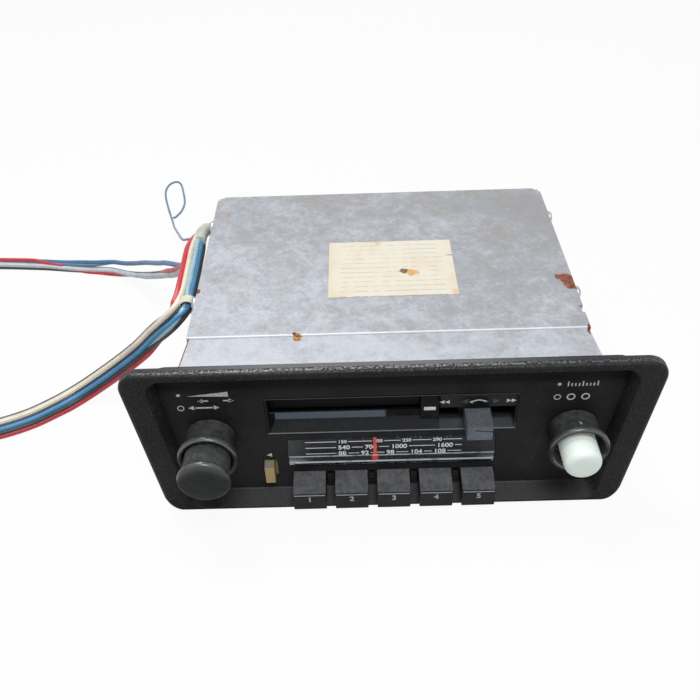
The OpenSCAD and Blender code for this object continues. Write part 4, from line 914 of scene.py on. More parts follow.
def tray_plastic():
    """Smooth black plastic, dusty on the ramp, grey where the lip faces the light, with painted highlights on
    the front edges.
    """
    f = Finish("smooth black plastic")
    x, y, z = f.axes()
    dust = f.band(f.noise(120, 5, 0.7), 0.42, 0.66) * f.under(z, 45 * mm, 46 * mm)
    f.colour = f.mix(dust * 0.5, tint(26, 27, 29), tint(60, 64, 68))
    lip = f.band(y, lip_front, lip_front + 0.3 * mm) * f.under(y, lip_back - 0.2 * mm, lip_back)
    lip = lip * f.band(z, lip_low, lip_low + 0.25 * mm) * f.under(z, lip_high, lip_high + 0.3 * mm)
    f.wash(lip * f.under(x, lip_end - 1.4 * mm, lip_end), (110, 122, 136))
    ledge = f.band(x, ledge_x, ledge_x + 0.3 * mm) * f.under(z, ledge_z, ledge_z + 0.4 * mm)
    f.wash(ledge * 0.8, (68, 71, 77))
    # Painted highlights: light lines along the slot's front edges, at the sill and the lintel.
    sill_highlight = f.near(z, sill_z, 0.12 * mm, 0.3 * mm) * 0.8
    lintel_highlight = f.near(z, lintel_z, 0.1 * mm, 0.3 * mm) * 0.3
    edges = f.under(y, tray_front, tray_front + 0.4 * mm) * f.maths("MAXIMUM", sill_highlight, lintel_highlight)
    f.wash(edges * 0.8, (172, 174, 178))
    speck = f.under(f.cells(520), 0.05, 0.1)
    f.wash(speck * dust * 0.5, (120, 122, 124))
    return f.done(Roughness=0.45 + dust * 0.2, Specular_IOR_Level=0.08)


def across(u, v, level):
    """Places an outline in y and z along x."""
    return (level, u, v)


inner_black = moulding("inner black", (20, 20, 21), 0.6, 0.15, 0.1)
gloss_black = moulding("gloss black", (24, 24, 26), 0.2, 0.15)
recast("slot_tray", "slot_surround", "chassis", "dark_plastic", 0.2 * mm, tray_plastic(), 1)
recast("cassette_door", "tape_door", "door", "dark_plastic", 0.3 * mm, inner_black)
recast("transport_plate", "lever_plate", "chassis", "gloss_black", 0.25 * mm, gloss_black)
white_lens = moulding("white lens", (232, 234, 232), 0.35, 0.4, 0.1)
lens_low, lens_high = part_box("indicator_lens")
lens_outline = [(lens_low.y, lens_low.z + 0.4 * mm), (lens_high.y, lens_low.z + 0.3 * mm),
                (lens_high.y, lens_high.z - 0.4 * mm), (lens_low.y, lens_high.z - 0.5 * mm)]
indicator = extruded("indicator_bar", lens_outline, lens_low.x, lens_high.x, across, white_lens)
fit(eased(indicator, 0.15 * mm), "chassis", "white_plastic", "indicator_lens")

plate_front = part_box("transport_plate")[0].y
sign_z = 56.8 * mm
arc_x, arc_z, arc_r = 36.2 * mm, 53.6 * mm, 4.2 * mm
signs = [arrow(x * mm, sign_z, 2 * mm, way) for x, way in ((20.9, -1), (23.1, -1), (48.6, 1), (50.6, 1))]
sweep = [(45 + 90 * k / 12) * deg for k in range(13)]
bow = [(radius, a) for radius, turns in ((arc_r, sweep), (0.86 * arc_r, sweep[::-1])) for a in turns]
signs.append([(arc_x + radius * math.cos(a), arc_z + radius * math.sin(a)) for radius, a in bow])
signs += [arrow(arc_x + way * 3.3 * mm, sign_z - 0.3 * mm, 1.6 * mm, way) for way in (-1, 1)]
green_ink = printed_ink("green ink", (34, 74, 50))
grey_ink = printed_ink("grey ink", (70, 72, 74))
fit(printed("lever_signs", signs, plate_front, white_ink), "chassis", "white_plastic")
run_arrow = arrow(30.2 * mm, sign_z, 3 * mm, -1)
turn_arrow = arrow(43.4 * mm, sign_z, 2.6 * mm)
fit(printed("run_sign", [run_arrow], plate_front, green_ink), "chassis", "gloss_black")
fit(printed("turn_sign", [turn_arrow], plate_front, grey_ink), "chassis", "gloss_black")

# Dial: a dark scale plate printed with three bands, a red pointer in front of it and a clear
# acrylic window, thicker at its foot, whose edges carry the light.
scale_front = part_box("dial_scale")[0].y + 4 * mm
digit_h = 2.5 * mm
digit_wide, digit_gap = 0.37, 0.3
row_line = 0.38 * mm
rows = ((27.7, 0.75, ((-21.4, "150"), (-5.6, "200"), (7.2, "250"), (20.7, "290"))),
        (24.0, 1.0, ((-20.8, "540"), (-8.8, "700"), (3.8, "1000"), (24.2, "1600"))),
        (20.3, 1.0, ((-21.6, "88"), (-11.5, "92"), (-0.1, "98"), (11.5, "104"), (22.0, "108"))))
row_start, row_end = -38 * mm, 31.6 * mm
crest_z, foot_z = 26.9 * mm, 23.6 * mm


def numeral(name, text, x, z, y, height, finish):
    """Plain figures as a thin print that faces the front."""
    curve = bpy.data.curves.new(name, "FONT")
    curve.body = text
    curve.size = height / 0.7
    curve.align_x = "CENTER"
    curve.extrude = ink_t / 2
    curve.offset = 0.035 * height
    return stood(curve, (x, y - ink_t / 2, z - height / 2), finish)


def clear_acrylic():
    """Clear acrylic: see-through face on, a little mirror-like at a slant, with painted highlight lines along
    its crest and foot.
    """
    f = Finish("clear acrylic")
    x, y, z = f.axes()
    gloss = f.node("ShaderNodeBsdfGlossy", {}, {"Roughness": 0.08, "Color": (0.9, 0.95, 1, 1)})
    through = f.node("ShaderNodeBsdfTransparent", {}, {"Color": (0.95, 0.97, 0.98, 1)})
    highlight_shader = f.node("ShaderNodeBsdfDiffuse", {}, {"Color": tint(226, 236, 242)})
    slant = f.node("ShaderNodeFresnel", {}, {"IOR": 1.3})
    outer = f.under(y, front_y - 2.4 * mm, front_y - 2 * mm)
    dust = f.band(f.noise(900, 4, 0.7), 0.55, 0.75) * 0.02
    left = f.under(x, -dial_half, 12 * mm - dial_half)
    right = f.band(x, dial_half - 10 * mm, dial_half) * 0.5
    haze = f.maths("MAXIMUM", left, right) * (0.03 + 0.2 * f.under(z, 23.5 * mm, 27 * mm))
    clear = f.node("ShaderNodeMixShader", {}, {0: (slant + dust + haze) * outer, 1: through, 2: gloss})
    # Painted highlights: pale diffuse lines along the window's crest and foot, broken in patches.
    crest = f.near(z, crest_z, 0.2 * mm, 0.45 * mm)
    foot = f.near(z, foot_z, 0.3 * mm, 0.6 * mm)
    front = f.under(y, front_y - 3.4 * mm, front_y - 3 * mm)
    patchy = f.band(f.noise(160, 4, 0.6), 0.25, 0.5)
    highlight_lines = (crest * 0.75 + foot * 0.9) * front * patchy
    shader = f.node("ShaderNodeMixShader", {}, {0: highlight_lines, 1: clear, 2: highlight_shader})
    f.node("ShaderNodeOutputMaterial", {}, {"Surface": shader})
    return f.material


def lit_red():
    """Red acrylic pointer, lit from behind."""
    f = Finish("lit red")
    shine = f.band(f.noise(300, 2), 0.3, 0.7)
    f.colour = f.mix(shine, tint(226, 52, 46), tint(248, 96, 84))
    return f.done(Roughness=0.3 + shine * 0.1, Emission_Color=f.colour, Emission_Strength=0.45)


dial_ink = printed_ink("dial ink", (250, 252, 253), 0.4)
marks = []
for row, (z, scale, numbers) in enumerate(rows):
    height = digit_h * scale
    ends = [row_start]
    for place, text in numbers:
        half = (len(text) * digit_wide + digit_gap) * height
        ends += [place * mm - half, place * mm + half]
        marks.append(numeral(f"dial_number_{text}", text, place * mm, z * mm, scale_front, height, dial_ink))
    ends.append(row_end)
    lines = [bar(a, b, z * mm, row_line) for a, b in zip(ends[::2], ends[1::2])]
    marks.append(printed(f"dial_row_{row}", lines, scale_front, dial_ink))
fit(joined("dial_print", *marks), "chassis", "white_plastic")
scale_black = moulding("scale black", (24, 25, 27), 0.3, 0.3, 0.1)
recast("dial_scale", "scale_plate", "chassis", "gloss_black", 0.2 * mm, scale_black)
recast("dial_pointer", "pointer_needle", "pointer", "pointer_red", 0.15 * mm, lit_red())
recast("dial_lens", "dial_window", "chassis", "acrylic", 0.25 * mm, clear_acrylic(), 1)

# Preset keys: five moulded piano keys with a sloping top greyed by dust and painted light, a thin
# bright line along the front edge, a plain number below it and a rounded toe. A flat plunger runs back
# inside.
key_half = 7.3 * mm
key_base = crease_z + 0.4 * mm
key_back = panel_y + 7 * mm
key_toe = 4 * mm
key_toe_r = 0.5 * mm
key_edge = 13.3 * mm
key_edge_r = 0.8 * mm
rod_half, rod_low, rod_high = 3 * mm, 9 * mm, 12 * mm
line_half, line_z, line_t = key_half - 0.5 * mm, 12.3 * mm, 0.45 * mm
figure_h = 2.9 * mm
figure_z = line_z - 2.6 * mm


def key_plastic():
    """Dark plastic, greyed on top by dust and painted light from above, and speckled."""
    f = Finish("key plastic")
    # Up-facing tops are greyed by settled dust and by painted light from above.
    dust = f.band(f.rise(), 0.5, 0.95) * (0.55 + 0.45 * f.band(f.noise(300, 5, 0.75), 0.38, 0.64))
    tone = f.band(f.noise(110, 4), 0.35, 0.65)
    f.colour = f.mix(tone, tint(46, 46, 48), tint(55, 55, 57))
    streak = f.noise(420, 3, 0.6, 0, f.at((1, 0.12, 1)))
    f.wash(dust * (0.75 + 0.5 * (streak - 0.5)), (126, 128, 132))
    f.wash(f.specks(700, (0.06, 0.12), 90, (0.45, 0.6)) * 0.4, (140, 140, 142))
    relief = f.bump(f.noise(2300, 3, 0.6), 0.07 * mm)
    return f.done(Roughness=0.5 + dust * 0.15, Normal=relief, Specular_IOR_Level=0.08)


def arc(y, z, radius, start, end, steps=6):
    """Points of an arc in y and z, by angles in degrees from +y towards +z."""
    angles = [(start + (end - start) * k / steps) * deg for k in range(steps + 1)]
    return [(y + radius * math.cos(a), z + radius * math.sin(a)) for a in angles]


key_black = key_plastic()
silver_ink = printed_ink("silver ink", (206, 208, 210))
for number, x in enumerate(key_xs, 1):
    node = f"preset_key_{number}"
    body = f"preset_{number}"
    low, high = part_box(node)
    front = low.y
    lean = math.atan2(key_base - low.z, key_toe)
    slope = math.atan2(high.z - key_edge, panel_y - front)
    toe_z = low.z + key_toe_r / math.tan(45 * deg - lean / 2)
    edge_z = key_edge - key_edge_r / math.tan(45 * deg + slope / 2)
    profile = arc(front + key_toe_r, toe_z, key_toe_r, 180, 270 + lean / deg)
    profile += [(front + key_toe, key_base), (key_back, key_base), (key_back, high.z), (panel_y, high.z)]
    profile += arc(front + key_edge_r, edge_z, key_edge_r, 90 + slope / deg, 180, 4)
    cap = extruded(f"key_cap_{number}", profile, x - key_half, x + key_half, across, key_black)
    plunger = oblong(key_back - 1 * mm, high.y, rod_low, rod_high)
    rod = extruded(f"key_rod_{number}", plunger, x - rod_half, x + rod_half, across, key_black)
    fit(joined(f"piano_key_{number}", eased(cap, 0.35 * mm), rod), body, "key_plastic", node)
    stripe = bar(x - line_half, x + line_half, line_z, line_t)
    line = plate(f"key_line_{number}", [stripe], front - ink_t, front + ink_t, 0, silver_ink)
    figure_y = front + ink_t / 2
    figure = numeral(f"key_figure_{number}", str(number), x, figure_z, figure_y, figure_h, silver_ink)
    fit(joined(f"key_print_{number}", line, figure), body, "white_plastic")

# Reverse button: a small key moulded in tan plastic, with a sloping top darker than its front.
# It slides in a hole of the panel.


def tan_plastic():
    """Tan plastic, darker where it faces up."""
    f = Finish("tan plastic")
    tone = f.band(f.noise(180, 4), 0.35, 0.65)
    front = f.mix(tone, tint(188, 161, 112), tint(198, 171, 122))
    f.colour = f.mix(f.band(f.rise(), 0.2, 0.6), front, tint(114, 107, 86))
    return f.done(Roughness=0.45 + tone * 0.1, Normal=f.bump(f.noise(2000), 0.03 * mm))


recast("rev_button", "reverse_key", "reverse", "button_tan", 0.3 * mm, tan_plastic())

# Transport lever: a grip moulded in grey plastic, with a coarse grained top and a smooth bluish
# front that has a dark notch. It sits on the carriage behind the lever plate.
notch_x, notch_z, notch_lean = 36 * mm, 49 * mm, 0.12
notch_start = 33.5 * mm


def lever_plastic():
    """Grey plastic, speckled and grained on top, smooth in front."""
    f = Finish("lever plastic")
    x, _, z = f.axes()
    up = f.band(f.rise(), 0.3, 0.7)
    grain = f.cells(2400)
    top = f.mix(f.band(grain, 0.25, 0.6), tint(128, 134, 140), tint(92, 96, 101))
    f.colour = f.mix(f.band(f.noise(200, 4), 0.35, 0.65), tint(112, 119, 131), tint(128, 136, 148))
    notch = f.under(abs(z - notch_z + (x - notch_x) * notch_lean), 0.25 * mm, 0.5 * mm)
    f.wash(notch * f.band(x, notch_start, notch_start + 1 * mm) * 0.75, (30, 32, 36))
    f.colour = f.mix(up, f.colour, top)
    return f.done(Roughness=0.5 + up * 0.1, Normal=f.bump(grain * up, 0.2 * mm), Specular_IOR_Level=0.1)


recast("transport_lever", "lever_grip", "lever", "key_plastic", 0.4 * mm, lever_plastic())

# Knobs: turned black mouldings on two shafts each. The rings flare to a glossy lip; the volume knob
# has a knurled neck under a wide domed cap. The tuning knob is lost and its white shaft shows.
tip_y, neck_back = (corner.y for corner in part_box("volume_knob"))
ring_front, ring_back = (corner.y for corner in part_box("fader_ring"))
ring_base_r, ring_lip_r, ring_hollow_r = 10.75 * mm, 12.75 * mm, 10.3 * mm
ring_hub_r, tube_r = 8.5 * mm, 4.05 * mm
ring_flare = ring_front + 6.5 * mm
web_front, web_back = ring_front + 9 * mm, ring_front + 11.5 * mm
lip_curve = ((-0.6, 3.2), (-0.1, 2.2), (0, 1.5), (-0.2, 0.8), (-0.6, 0.25), (-1.2, 0))
hollow_curve = ((0.7, 0.1), (0.2, 0.6), (0, 1.4))
cap_curve = ((0, 0), (5, 0.05), (7.8, 0.2), (9.4, 0.5), (10.2, 0.9), (10.7, 1.4), (11, 2.1))
cap_r, neck_r, bore_r = 11 * mm, 9.75 * mm, 2.6 * mm
cap_back = tip_y + 3.8 * mm
bore_end = tip_y + 4.5 * mm
knob_steps = 72
knurl_count = 84
knurl_r = 0.3 * mm
mark_half = 0.35 * mm
shaft_r, shaft_round, shaft_step, pin_r = 7.75 * mm, 3.4 * mm, 16.5 * mm, 2.5 * mm


def knob_axis(x):
    """Turns a lathe's Z to the radio's Y, at a knob's place."""
    return Matrix.Translation((x, 0, knob_z)) @ Matrix.Rotation(-90 * deg, 4, "X")


def traced(curve, radius, start):
    """A curve in millimetres as a lathe's profile, from a radius and a y."""
    return [(radius + r * mm, start + y * mm) for r, y in curve]


def knob_plastic(name, gloss):
    """Black knob plastic with dust and wear; the lips shine where they face up."""
    f = Finish(name)
    rise = f.rise()
    tone = f.band(f.noise(130, 5, 0.65, 0.4), 0.3, 0.75)
    f.colour = f.mix(tone * (0.7 - 0.4 * gloss), tint(40, 41, 42), tint(64, 66, 66))
    dust = f.band(rise, 0.25, 0.75) * f.band(f.noise(320, 5, 0.75), 0.25, 0.7) * (1 - 0.7 * gloss)
    f.wash(dust * 0.5, (116, 118, 117))
    f.wash(f.specks(640, (0.06, 0.12), 70, (0.42, 0.6)) * 0.45, (150, 150, 148))
    relief = f.bump(f.noise(1800, 3, 0.6), 0.05 * mm)
    return f.done(Roughness=0.5 - 0.15 * gloss + tone * 0.1, Normal=relief, Specular_IOR_Level=0.1,
                  Coat_Weight=f.band(rise, 0.02, 0.3), Coat_Roughness=0.25, Coat_IOR=1.5 + 0.5 * gloss)


def milky_plastic():
    """Milky white shaft plastic with a faint green cast and a faint painted glow."""
    f = Finish("milky plastic")
    tone = f.band(f.noise(60, 3, 0.5), 0.35, 0.7)
    f.colour = f.mix(tone, tint(236, 248, 241), tint(246, 255, 250))
    # The emission is a painted glow, standing in for light through the milky plastic.
    return f.done(Roughness=0.3 + tone * 0.1, Normal=f.bump(f.noise(900), 0.02 * mm),
                  Emission_Color=f.colour, Emission_Strength=0.13)


def on_flare(u, v, level):
    """Places an outline in x and y on the crown of a ring's flare."""
    return (u, v, knob_z + ring_base_r + (ring_flare - v) * 0.45 + level)


knob_matt = knob_plastic("knob plastic", 0.0)
knob_gloss = knob_plastic("knob lip", 1.0)
ring_profile = [(tube_r, web_front), (tube_r, web_back), (ring_hub_r, web_back), (ring_hub_r, ring_back),
                (ring_base_r, ring_back), (ring_base_r, ring_flare),
                *traced(lip_curve, ring_lip_r, ring_front),
                *traced(hollow_curve, ring_hollow_r, ring_front), (ring_hollow_r, web_front)]
for side, name, body in ((-1, "fader_ring", "fader"), (1, "mono_ring", "mono")):
    axis = knob_axis(side * knob_x)
    ring = turned(f"{name}_knob", ring_profile, knob_steps, axis, knob_matt, knob_gloss, closed=True)
    fit(eased(ring, 0.5 * mm, 3, 1), body, "dark_plastic", name)

cap_profile = [*traced(cap_curve, 0, tip_y), (cap_r, cap_back - 0.6 * mm), (cap_r - 0.6 * mm, cap_back),
               (neck_r - knurl_r, cap_back), (neck_r - knurl_r, neck_back), (bore_r, neck_back),
               (bore_r, bore_end), (0, bore_end)]
cap = turned("volume_cap", cap_profile, knob_steps, knob_axis(-knob_x), knob_matt, knob_gloss)
fit(eased(cap, 0.5 * mm, 3, 1), "volume", "dark_plastic", "volume_knob")

pattern = Pattern("knurled neck", Count=knurl_count, Ring=neck_r - knurl_r, Rib=knurl_r,
                  Length=neck_back - cap_back)
around = {"Vertices": pattern.size("Count"), "Radius": pattern.size("Ring")}
neck_ring = pattern.node("GeometryNodeMeshCircle", {}, around)
along = {"Vertices": 6, "Radius": pattern.size("Rib"), "Depth": pattern.size("Length")}
rib = pattern.node("GeometryNodeMeshCylinder", {"fill_type": "NGON"}, along)
knurl = pattern.grown("neck_knurl", knob_matt, rib, Points=neck_ring)
knurl.data.transform(knob_axis(-knob_x) @ Matrix.Translation((0, 0, (cap_back + neck_back) / 2)))
fit(knurl, "volume", "dark_plastic")

mark = oblong(knob_x - mark_half, knob_x + mark_half, ring_front + 4.2 * mm, ring_front + 6.6 * mm)
fit(extruded("mono_mark", mark, 0, ink_t * 3, on_flare, white_ink), "mono", "white_plastic")

shaft_low, shaft_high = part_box("tuning_shaft")
shaft_shoulder = shaft_low.y + shaft_step
shaft_profile = [(0, shaft_low.y)]
for k in range(9):
    angle = k * 90 / 8 * deg
    shaft_profile.append((shaft_r - shaft_round * (1 - math.sin(angle)),
                          shaft_low.y + shaft_round * (1 - math.cos(angle))))
shaft_profile += [(shaft_r, shaft_shoulder), (pin_r, shaft_shoulder),
                  (pin_r, shaft_high.y), (0, shaft_high.y)]
shaft = turned("tuning_stub", shaft_profile, 64, knob_axis(knob_x), milky_plastic())
fit(shaft, "tuning", "white_plastic", "tuning_shaft")

# Wires: soft vinyl leads in several colours, bundled along the left side. The main bundle leaves
# the grommet in a short grey sleeve. One thin blue wire is folded into a loop.
wire_colours = {"grey": (96, 96, 94), "cream": (246, 236, 218), "blue": (80, 146, 194),
                "pale": (170, 208, 222), "black": (54, 55, 56), "red": (214, 60, 70), "pink": (232, 108, 116),
                "white": (214, 222, 228), "navy": (74, 122, 166), "slate": (122, 148, 174),
                "sleeve": (206, 210, 198)}
main_route = (
    (-90.7, 78, 50), (-94.5, 77.5, 51), (-97.5, 73, 53.5), (-98.5, 62, 56.5), (-97.5, 45, 58.5),
    (-97, 28, 58.5), (-97, 14, 57.5), (-98, 2, 55), (-102, -4, 52), (-107.5, -5, 47), (-114, -4.5, 40.7),
    (-122.5, -4, 32), (-133, -3, 22.8), (-144, -3, 14.4), (-154, -4.5, 8), (-162.5, -9, 5),
    (-169.5, -14.5, 4.3), (-179, -21.8, 4.2), (-190, -27.5, 4.2), (-200, -31, 4.2))
branch_route = (
    (-101.5, 32, 57.5), (-108, 41, 50.5), (-117, 54, 41.5), (-126, 67, 32.5), (-136, 81, 23),
    (-146, 93, 14.8), (-155, 102, 9), (-164, 109, 5.5), (-174, 113, 3.7), (-186, 115, 3.2),
    (-198.5, 117, 3.2), (-211, 119, 3.2), (-223.5, 120.3, 3.2), (-236, 121.2, 3.2), (-249, 122, 3.2))
loop_route = (
    (-101.3, 64.8, 53.1), (-106, 69, 50.4), (-110.3, 75, 46.5), (-115.2, 89.2, 39.5), (-120.6, 107, 31),
    (-126.6, 127, 21), (-133.4, 150, 10), (-139, 170, 3), (-145, 189, 1.3), (-149.8, 206, 1.2),
    (-151.3, 217, 1.2), (-149.8, 225, 1.2), (-146, 228.6, 1.2), (-141.8, 225, 1.2), (-138, 212, 1.2),
    (-134.8, 197, 1.2), (-135.3, 186, 1.2), (-138, 178, 1.2), (-139.1, 175.6, 1.9))
main_d, branch_d, loop_d = 8 * mm, 6 * mm, 1.8 * mm


def vinyl(name, colour):
    """Soft vinyl insulation, slightly grubby."""
    f = Finish(name + " vinyl")
    grub = f.band(f.noise(140, 4, 0.6), 0.4, 0.75)
    f.colour = f.mix(grub, tint(*colour), tint(*colour, 0.8))
    return f.done(Roughness=0.35 + grub * 0.15, Normal=f.bump(f.noise(120), 0.02 * mm))


def smooth_path(route, steps=6):
    """A Catmull-Rom curve through a route in millimetres, as points in metres."""
    points = [Vector(p) * mm for p in route]
    points = [2 * points[0] - points[1], *points, 2 * points[-1] - points[-2]]
    path = []
    for a, b, c, d in zip(points, points[1:], points[2:], points[3:]):
        for k in range(steps):
            t = k / steps
            path.append(0.5 * (2 * b + (c - a) * t + (2 * a - 5 * b + 4 * c - d) * t ** 2
                               + (3 * b - a - 3 * c + d) * t ** 3))
    return path + [points[-2]]


def wire_frames(path):
    """Sideways and upward directions along a path, carried on without twist."""
    frames = []
    side = None
    for i in range(len(path)):
        way = (path[min(i + 1, len(path) - 1)] - path[max(i - 1, 0)]).normalized()
        side = way.cross(Vector((0, 0, 1))) if side is None else side - way * side.dot(way)
        side = side.normalized()
        frames.append((side, side.cross(way)))
    return frames


def lying(keys, t):
    """A wire's place at a share t of its bundle's length; each key is a share, then sideways and up."""
    place = keys[-1][1:]
    for (t0, *low), (t1, *high) in zip(keys, keys[1:]):
        if t < t1:
            share = max(t - t0, 0) / (t1 - t0)
            share = share * share * (3 - 2 * share)
            place = [a + (b - a) * share for a, b in zip(low, high)]
            break
    return place[0] * mm, place[1] * mm


def bundle(name, path, wires, sides=9):
    """Wires along a path. Each is a colour, a radius and the keys of its place, in millimetres."""
    frames = wire_frames(path)
    used = list(dict.fromkeys(colour for colour, *_ in wires))
    points = []
    faces = []
    owners = []
    for colour, radius, *keys in wires:
        radius = radius * mm
        rings = []
        for i, (middle, (side, up)) in enumerate(zip(path, frames)):
            u, v = lying(keys, i / (len(path) - 1))
            centre = middle + side * u + up * v
            centre.z = max(centre.z, radius)
            rings.append(range(len(points), len(points) + sides))
            for k in range(sides):
                a = 2 * math.pi * k / sides
                points.append(centre + (side * math.cos(a) + up * math.sin(a)) * radius)
        faces += ring_faces(rings) + [list(rings[0]), list(rings[-1])]
        owners += [used.index(colour)] * (len(faces) - len(owners))
    mesh = bpy.data.meshes.new(name)
    mesh.from_pydata([tuple(p) for p in points], [], faces)
    for colour in used:
        mesh.materials.append(vinyls[colour])
    mesh.polygons.foreach_set("material_index", owners)
    tidy(mesh)
    return placed(name, mesh)


vinyls = {name: vinyl(name, colour) for name, colour in wire_colours.items()}
main_wires = [
    ("red", 1.45, (0.12, 0, -1), (0.23, 4.6, 0.4), (0.33, 4.6, 0.4), (0.37, 4.6, -0.6), (0.43, 1.5, -3.2),
     (0.5, -3, -2), (0.57, -4.1, 1.0), (1, -4.1, 0.8)),
    ("cream", 1.55, (0.12, 0, -0.5), (0.23, 2.5, 1.2), (0.33, 2.4, 1.1), (0.37, 3.0, 0.8), (0.46, 3.2, 0),
     (1, 3.1, 0.2)),
    ("pale", 1.4, (0.12, -0.5, 0), (0.23, 0.1, 1.7), (0.33, 0.2, 1.6), (0.37, -0.8, 0.8), (0.46, -2.1, 1.4),
     (0.6, -1.9, 0.4), (1, -1.6, -0.6)),
    ("blue", 1.35, (0.1, -1, -0.5), (0.2, -2.2, 0.9), (0.33, -1.9, 1.2), (0.37, -2, 1.4), (0.42, -0.9, 1.5),
     (0.5, -0.2, 1.5), (1, -0.2, 1.5)),
    ("black", 1.3, (0.1, -1.5, -1), (0.2, -4, 0.2), (0.33, -3.8, 0.3), (0.37, -3.6, 0), (0.46, -3.6, 1),
     (0.6, -2.3, 1.4), (1, -2.3, 1.3)),
    ("grey", 0.85, (0.1, 1, -1), (0.33, 2.5, -1), (0.37, 2.2, -1.2), (0.5, 4.4, -1.2), (1, 4.4, -1.2)),
    ("black", 1.0, (0.1, 0, 0), (0.35, 0, -0.5), (0.385, 0.6, 0.4), (0.5, 1.3, 0.5), (1, 1.3, 0.6)),
    ("pink", 1.2, (0.1, 0, -1.5), (0.33, 0.5, -1.5), (0.37, -1.5, -1.6), (0.5, -3, -0.6), (1, -3.2, -0.6)),
    ("white", 1.3, (0.1, -1, -2), (0.33, -2, -1.4), (0.37, 0, -1.6), (0.5, 1, -1.6), (1, 1, -1.6))]
branch_wires = [
    ("navy", 1.4, (0, 0, 0.6), (0.16, 0, 3.4), (0.3, 0, 4.4), (0.5, 0, 4.5), (0.62, 0, 3.6), (0.75, 0.6, 2.2),
     (1, 1.2, 1.4)),
    ("slate", 1.15, (0, 0.8, 0.4), (0.16, 1, 3.2), (0.3, 1, 4), (0.5, 1, 3.9), (0.62, -0.6, 2.2),
     (0.75, 0, 1.6), (1, 0.4, 2.2)),
    ("white", 1.6, (0, -0.5, -1), (0.1, -0.6, -3), (0.25, -0.6, -3.7), (0.35, -0.6, -3.2), (0.44, -0.6, -2),
     (0.55, -0.7, -1), (0.68, -0.8, -0.9), (0.8, -0.8, -0.3), (1, -0.8, 0.2)),
    ("red", 1.15, (0, -1, 0.2), (0.12, -1, -0.9), (0.25, 1, -3), (0.42, 0.6, -3.4), (0.5, -1.2, -3.4),
     (0.6, -1.4, -3.1), (0.68, -1, -1.6), (0.76, -0.6, 1.2), (0.84, -0.2, 3.2), (1, 0, 3.2)),
    ("pale", 1.3, (0, 0.5, -1.8), (0.12, -0.2, -4.1), (0.3, -0.2, -4.5), (0.42, 1, -3), (0.55, 1.2, -1),
     (1, 1.2, -0.6)),
    ("black", 1.25, (0, 1, -0.6), (0.3, 1.2, -3), (0.52, 0.8, -1.8), (0.62, -0.5, -2.6), (0.7, -0.6, -2.4),
     (1, -0.5, -1.9))]
loop_wire = [("slate", loop_d * 0.4 / mm, (0, 0, 0))]
grey_sleeve = [("sleeve", 3.4, (0, 0, 0.4), (1, -1.4, 0.7))]
main_path, branch_path, loop_path = (smooth_path(route) for route in (main_route, branch_route, loop_route))
main_cord = bundle("main_wires", main_path, main_wires)
branch_cord = bundle("branch_wires", branch_path, branch_wires)
loop_cord = bundle("loop_wire", loop_path, loop_wire)
fit(bundle("wire_sleeve", main_path[3:22], grey_sleeve, 20), "chassis", "grommet_rubber")

# Connectors: ivory nylon housings moulded with a collar for the wires, a latch on top and rows of
# sockets in the far end. One closes the main bundle and a smaller one the branch.
socket_half = 0.8 * mm
latch_half = 1.6 * mm
collar_inset = 1.2 * mm


def nylon(name, colour):
    """Unfilled nylon, a little yellowed."""
    f = Finish(name)
    aged = f.band(f.noise(90, 4), 0.35, 0.7)
    f.colour = f.mix(aged, tint(*colour), tint(*colour, 0.8))
    return f.done(Roughness=0.4 + aged * 0.1, Normal=f.bump(f.noise(700), 0.04 * mm))


def connector(name, node, route, size, ways, rows_up):
    """A moulded housing with a row of sockets in its far end and a latch on top."""
    length, width, height = (s * mm for s in size)
    half = width / 2
    deck = height * 0.86
    end, before = Vector(route[-1]) * mm, Vector(route[-2]) * mm
    way = (end - before).to_2d().normalized()
    turn = Matrix.Translation((end.x, end.y, 0)) @ Matrix.Rotation(math.atan2(way.y, way.x), 4, "Z")

    def lay(u, v, level):
        """Places an outline across the bundle's end, along its last run."""
        return turn @ Vector((level, u, v))

    body = [(-half, 0), (half, 0), (half, deck), (half - 1 * mm, deck + 0.4 * mm),
            (-half + 1 * mm, deck + 0.4 * mm), (-half, deck)]
    collar = oblong(-half + collar_inset, half - collar_inset, 0.8 * mm, height * 0.74)
    latch = oblong(-latch_half, latch_half, height * 0.8, height)
    parts = []
    for part, outline, low, high, edge in (("body", body, 2 * mm, length, 0.5 * mm),
                                           ("neck", collar, 0, 3 * mm, 0.4 * mm),
                                           ("latch", latch, 5 * mm, length - 3 * mm, 0.3 * mm)):
        parts.append(eased(extruded(f"{name}_{part}", outline, low, high, lay, ivory), edge))
    for column in range(ways):
        for level in range(rows_up):
            u = -half + width * (column + 0.5) / ways
            v = deck * (level + 0.5) / rows_up
            # Each socket is a dark block flush with the end face: painted shade standing for its opening.
            socket_shade = oblong(u - socket_half, u + socket_half, v - socket_half, v + socket_half)
            title = f"{name}_way_{column}_{level}"
            parts.append(extruded(title, socket_shade, length - 1 * mm, length, lay, inner_black))
    return fit(joined(name, *parts), "chassis", "clip_nylon", node)


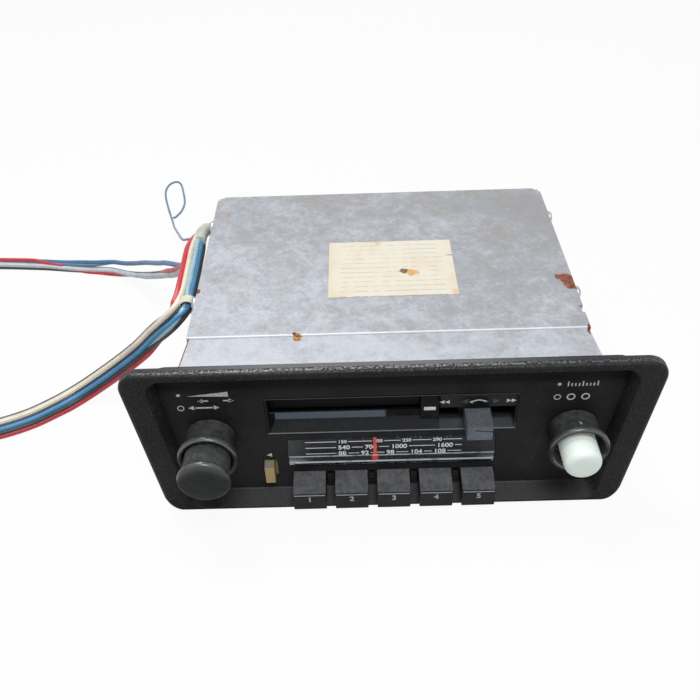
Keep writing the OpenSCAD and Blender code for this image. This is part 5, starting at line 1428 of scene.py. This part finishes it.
def run_of(path):
    return sum((b - a).length for a, b in zip(path, path[1:]))


ivory = nylon("ivory nylon", (226, 220, 200))
main_plug = connector("main_housing", "main_connector", main_route, (24, 16, 9), 5, 2)
branch_plug = connector("branch_housing", "branch_connector", branch_route, (20, 12, 7.5), 4, 1)
fit(main_cord, "chassis", "wire_blue", "harness_main")
fit(branch_cord, "chassis", "wire_red", "harness_branch")
fit(loop_cord, "chassis", "wire_blue", "harness_loop")
run_of(main_path)
run_of(branch_path)
run_of(loop_path)

# Cable clip: a loop of pale nylon round the main bundle, with a foot, on a brown tab against the
# chassis side.
clip_low, clip_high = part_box("cable_clip")
clip_x, clip_y, clip_z = clip_low.x + 7.8 * mm, (clip_low.y + clip_high.y) / 2, clip_high.z - 5.6 * mm
clip_half, clip_in, clip_out = 2.6 * mm, 3.3 * mm, 4.3 * mm
tab_t = 1.5 * mm


def along_y(u, v, level):
    """Places an outline in x and z along y."""
    return (u, level, v)


clip_profile = [(clip_in, -clip_half), (clip_out - 0.3 * mm, -clip_half), (clip_out, -clip_half + 0.6 * mm),
                (clip_out, clip_half - 0.6 * mm), (clip_out - 0.3 * mm, clip_half), (clip_in, clip_half)]
clip_axis = Matrix.Translation((clip_x, clip_y, clip_z)) @ Matrix.Rotation(-90 * deg, 4, "X")
clip_nylon = nylon("clip nylon", (236, 233, 212))
clip_brown = nylon("clip brown", (92, 74, 58))
clip_parts = [eased(turned("clip_loop", clip_profile, 36, clip_axis, clip_nylon, closed=True), 0.25 * mm)]
clip_foot = oblong(clip_x + clip_in, clip_high.x, clip_z - 3.4 * mm, clip_z - 0.6 * mm)
clip_tab = oblong(clip_high.x - tab_t, clip_high.x, clip_low.z, clip_z)
for part, outline, finish in (("foot", clip_foot, clip_nylon), ("tab", clip_tab, clip_brown)):
    made = extruded(f"clip_{part}", outline, clip_y - clip_half, clip_y + clip_half, along_y, finish)
    clip_parts.append(eased(made, 0.3 * mm))
fit(joined("clip_ring", *clip_parts), "chassis", "clip_nylon", "cable_clip")
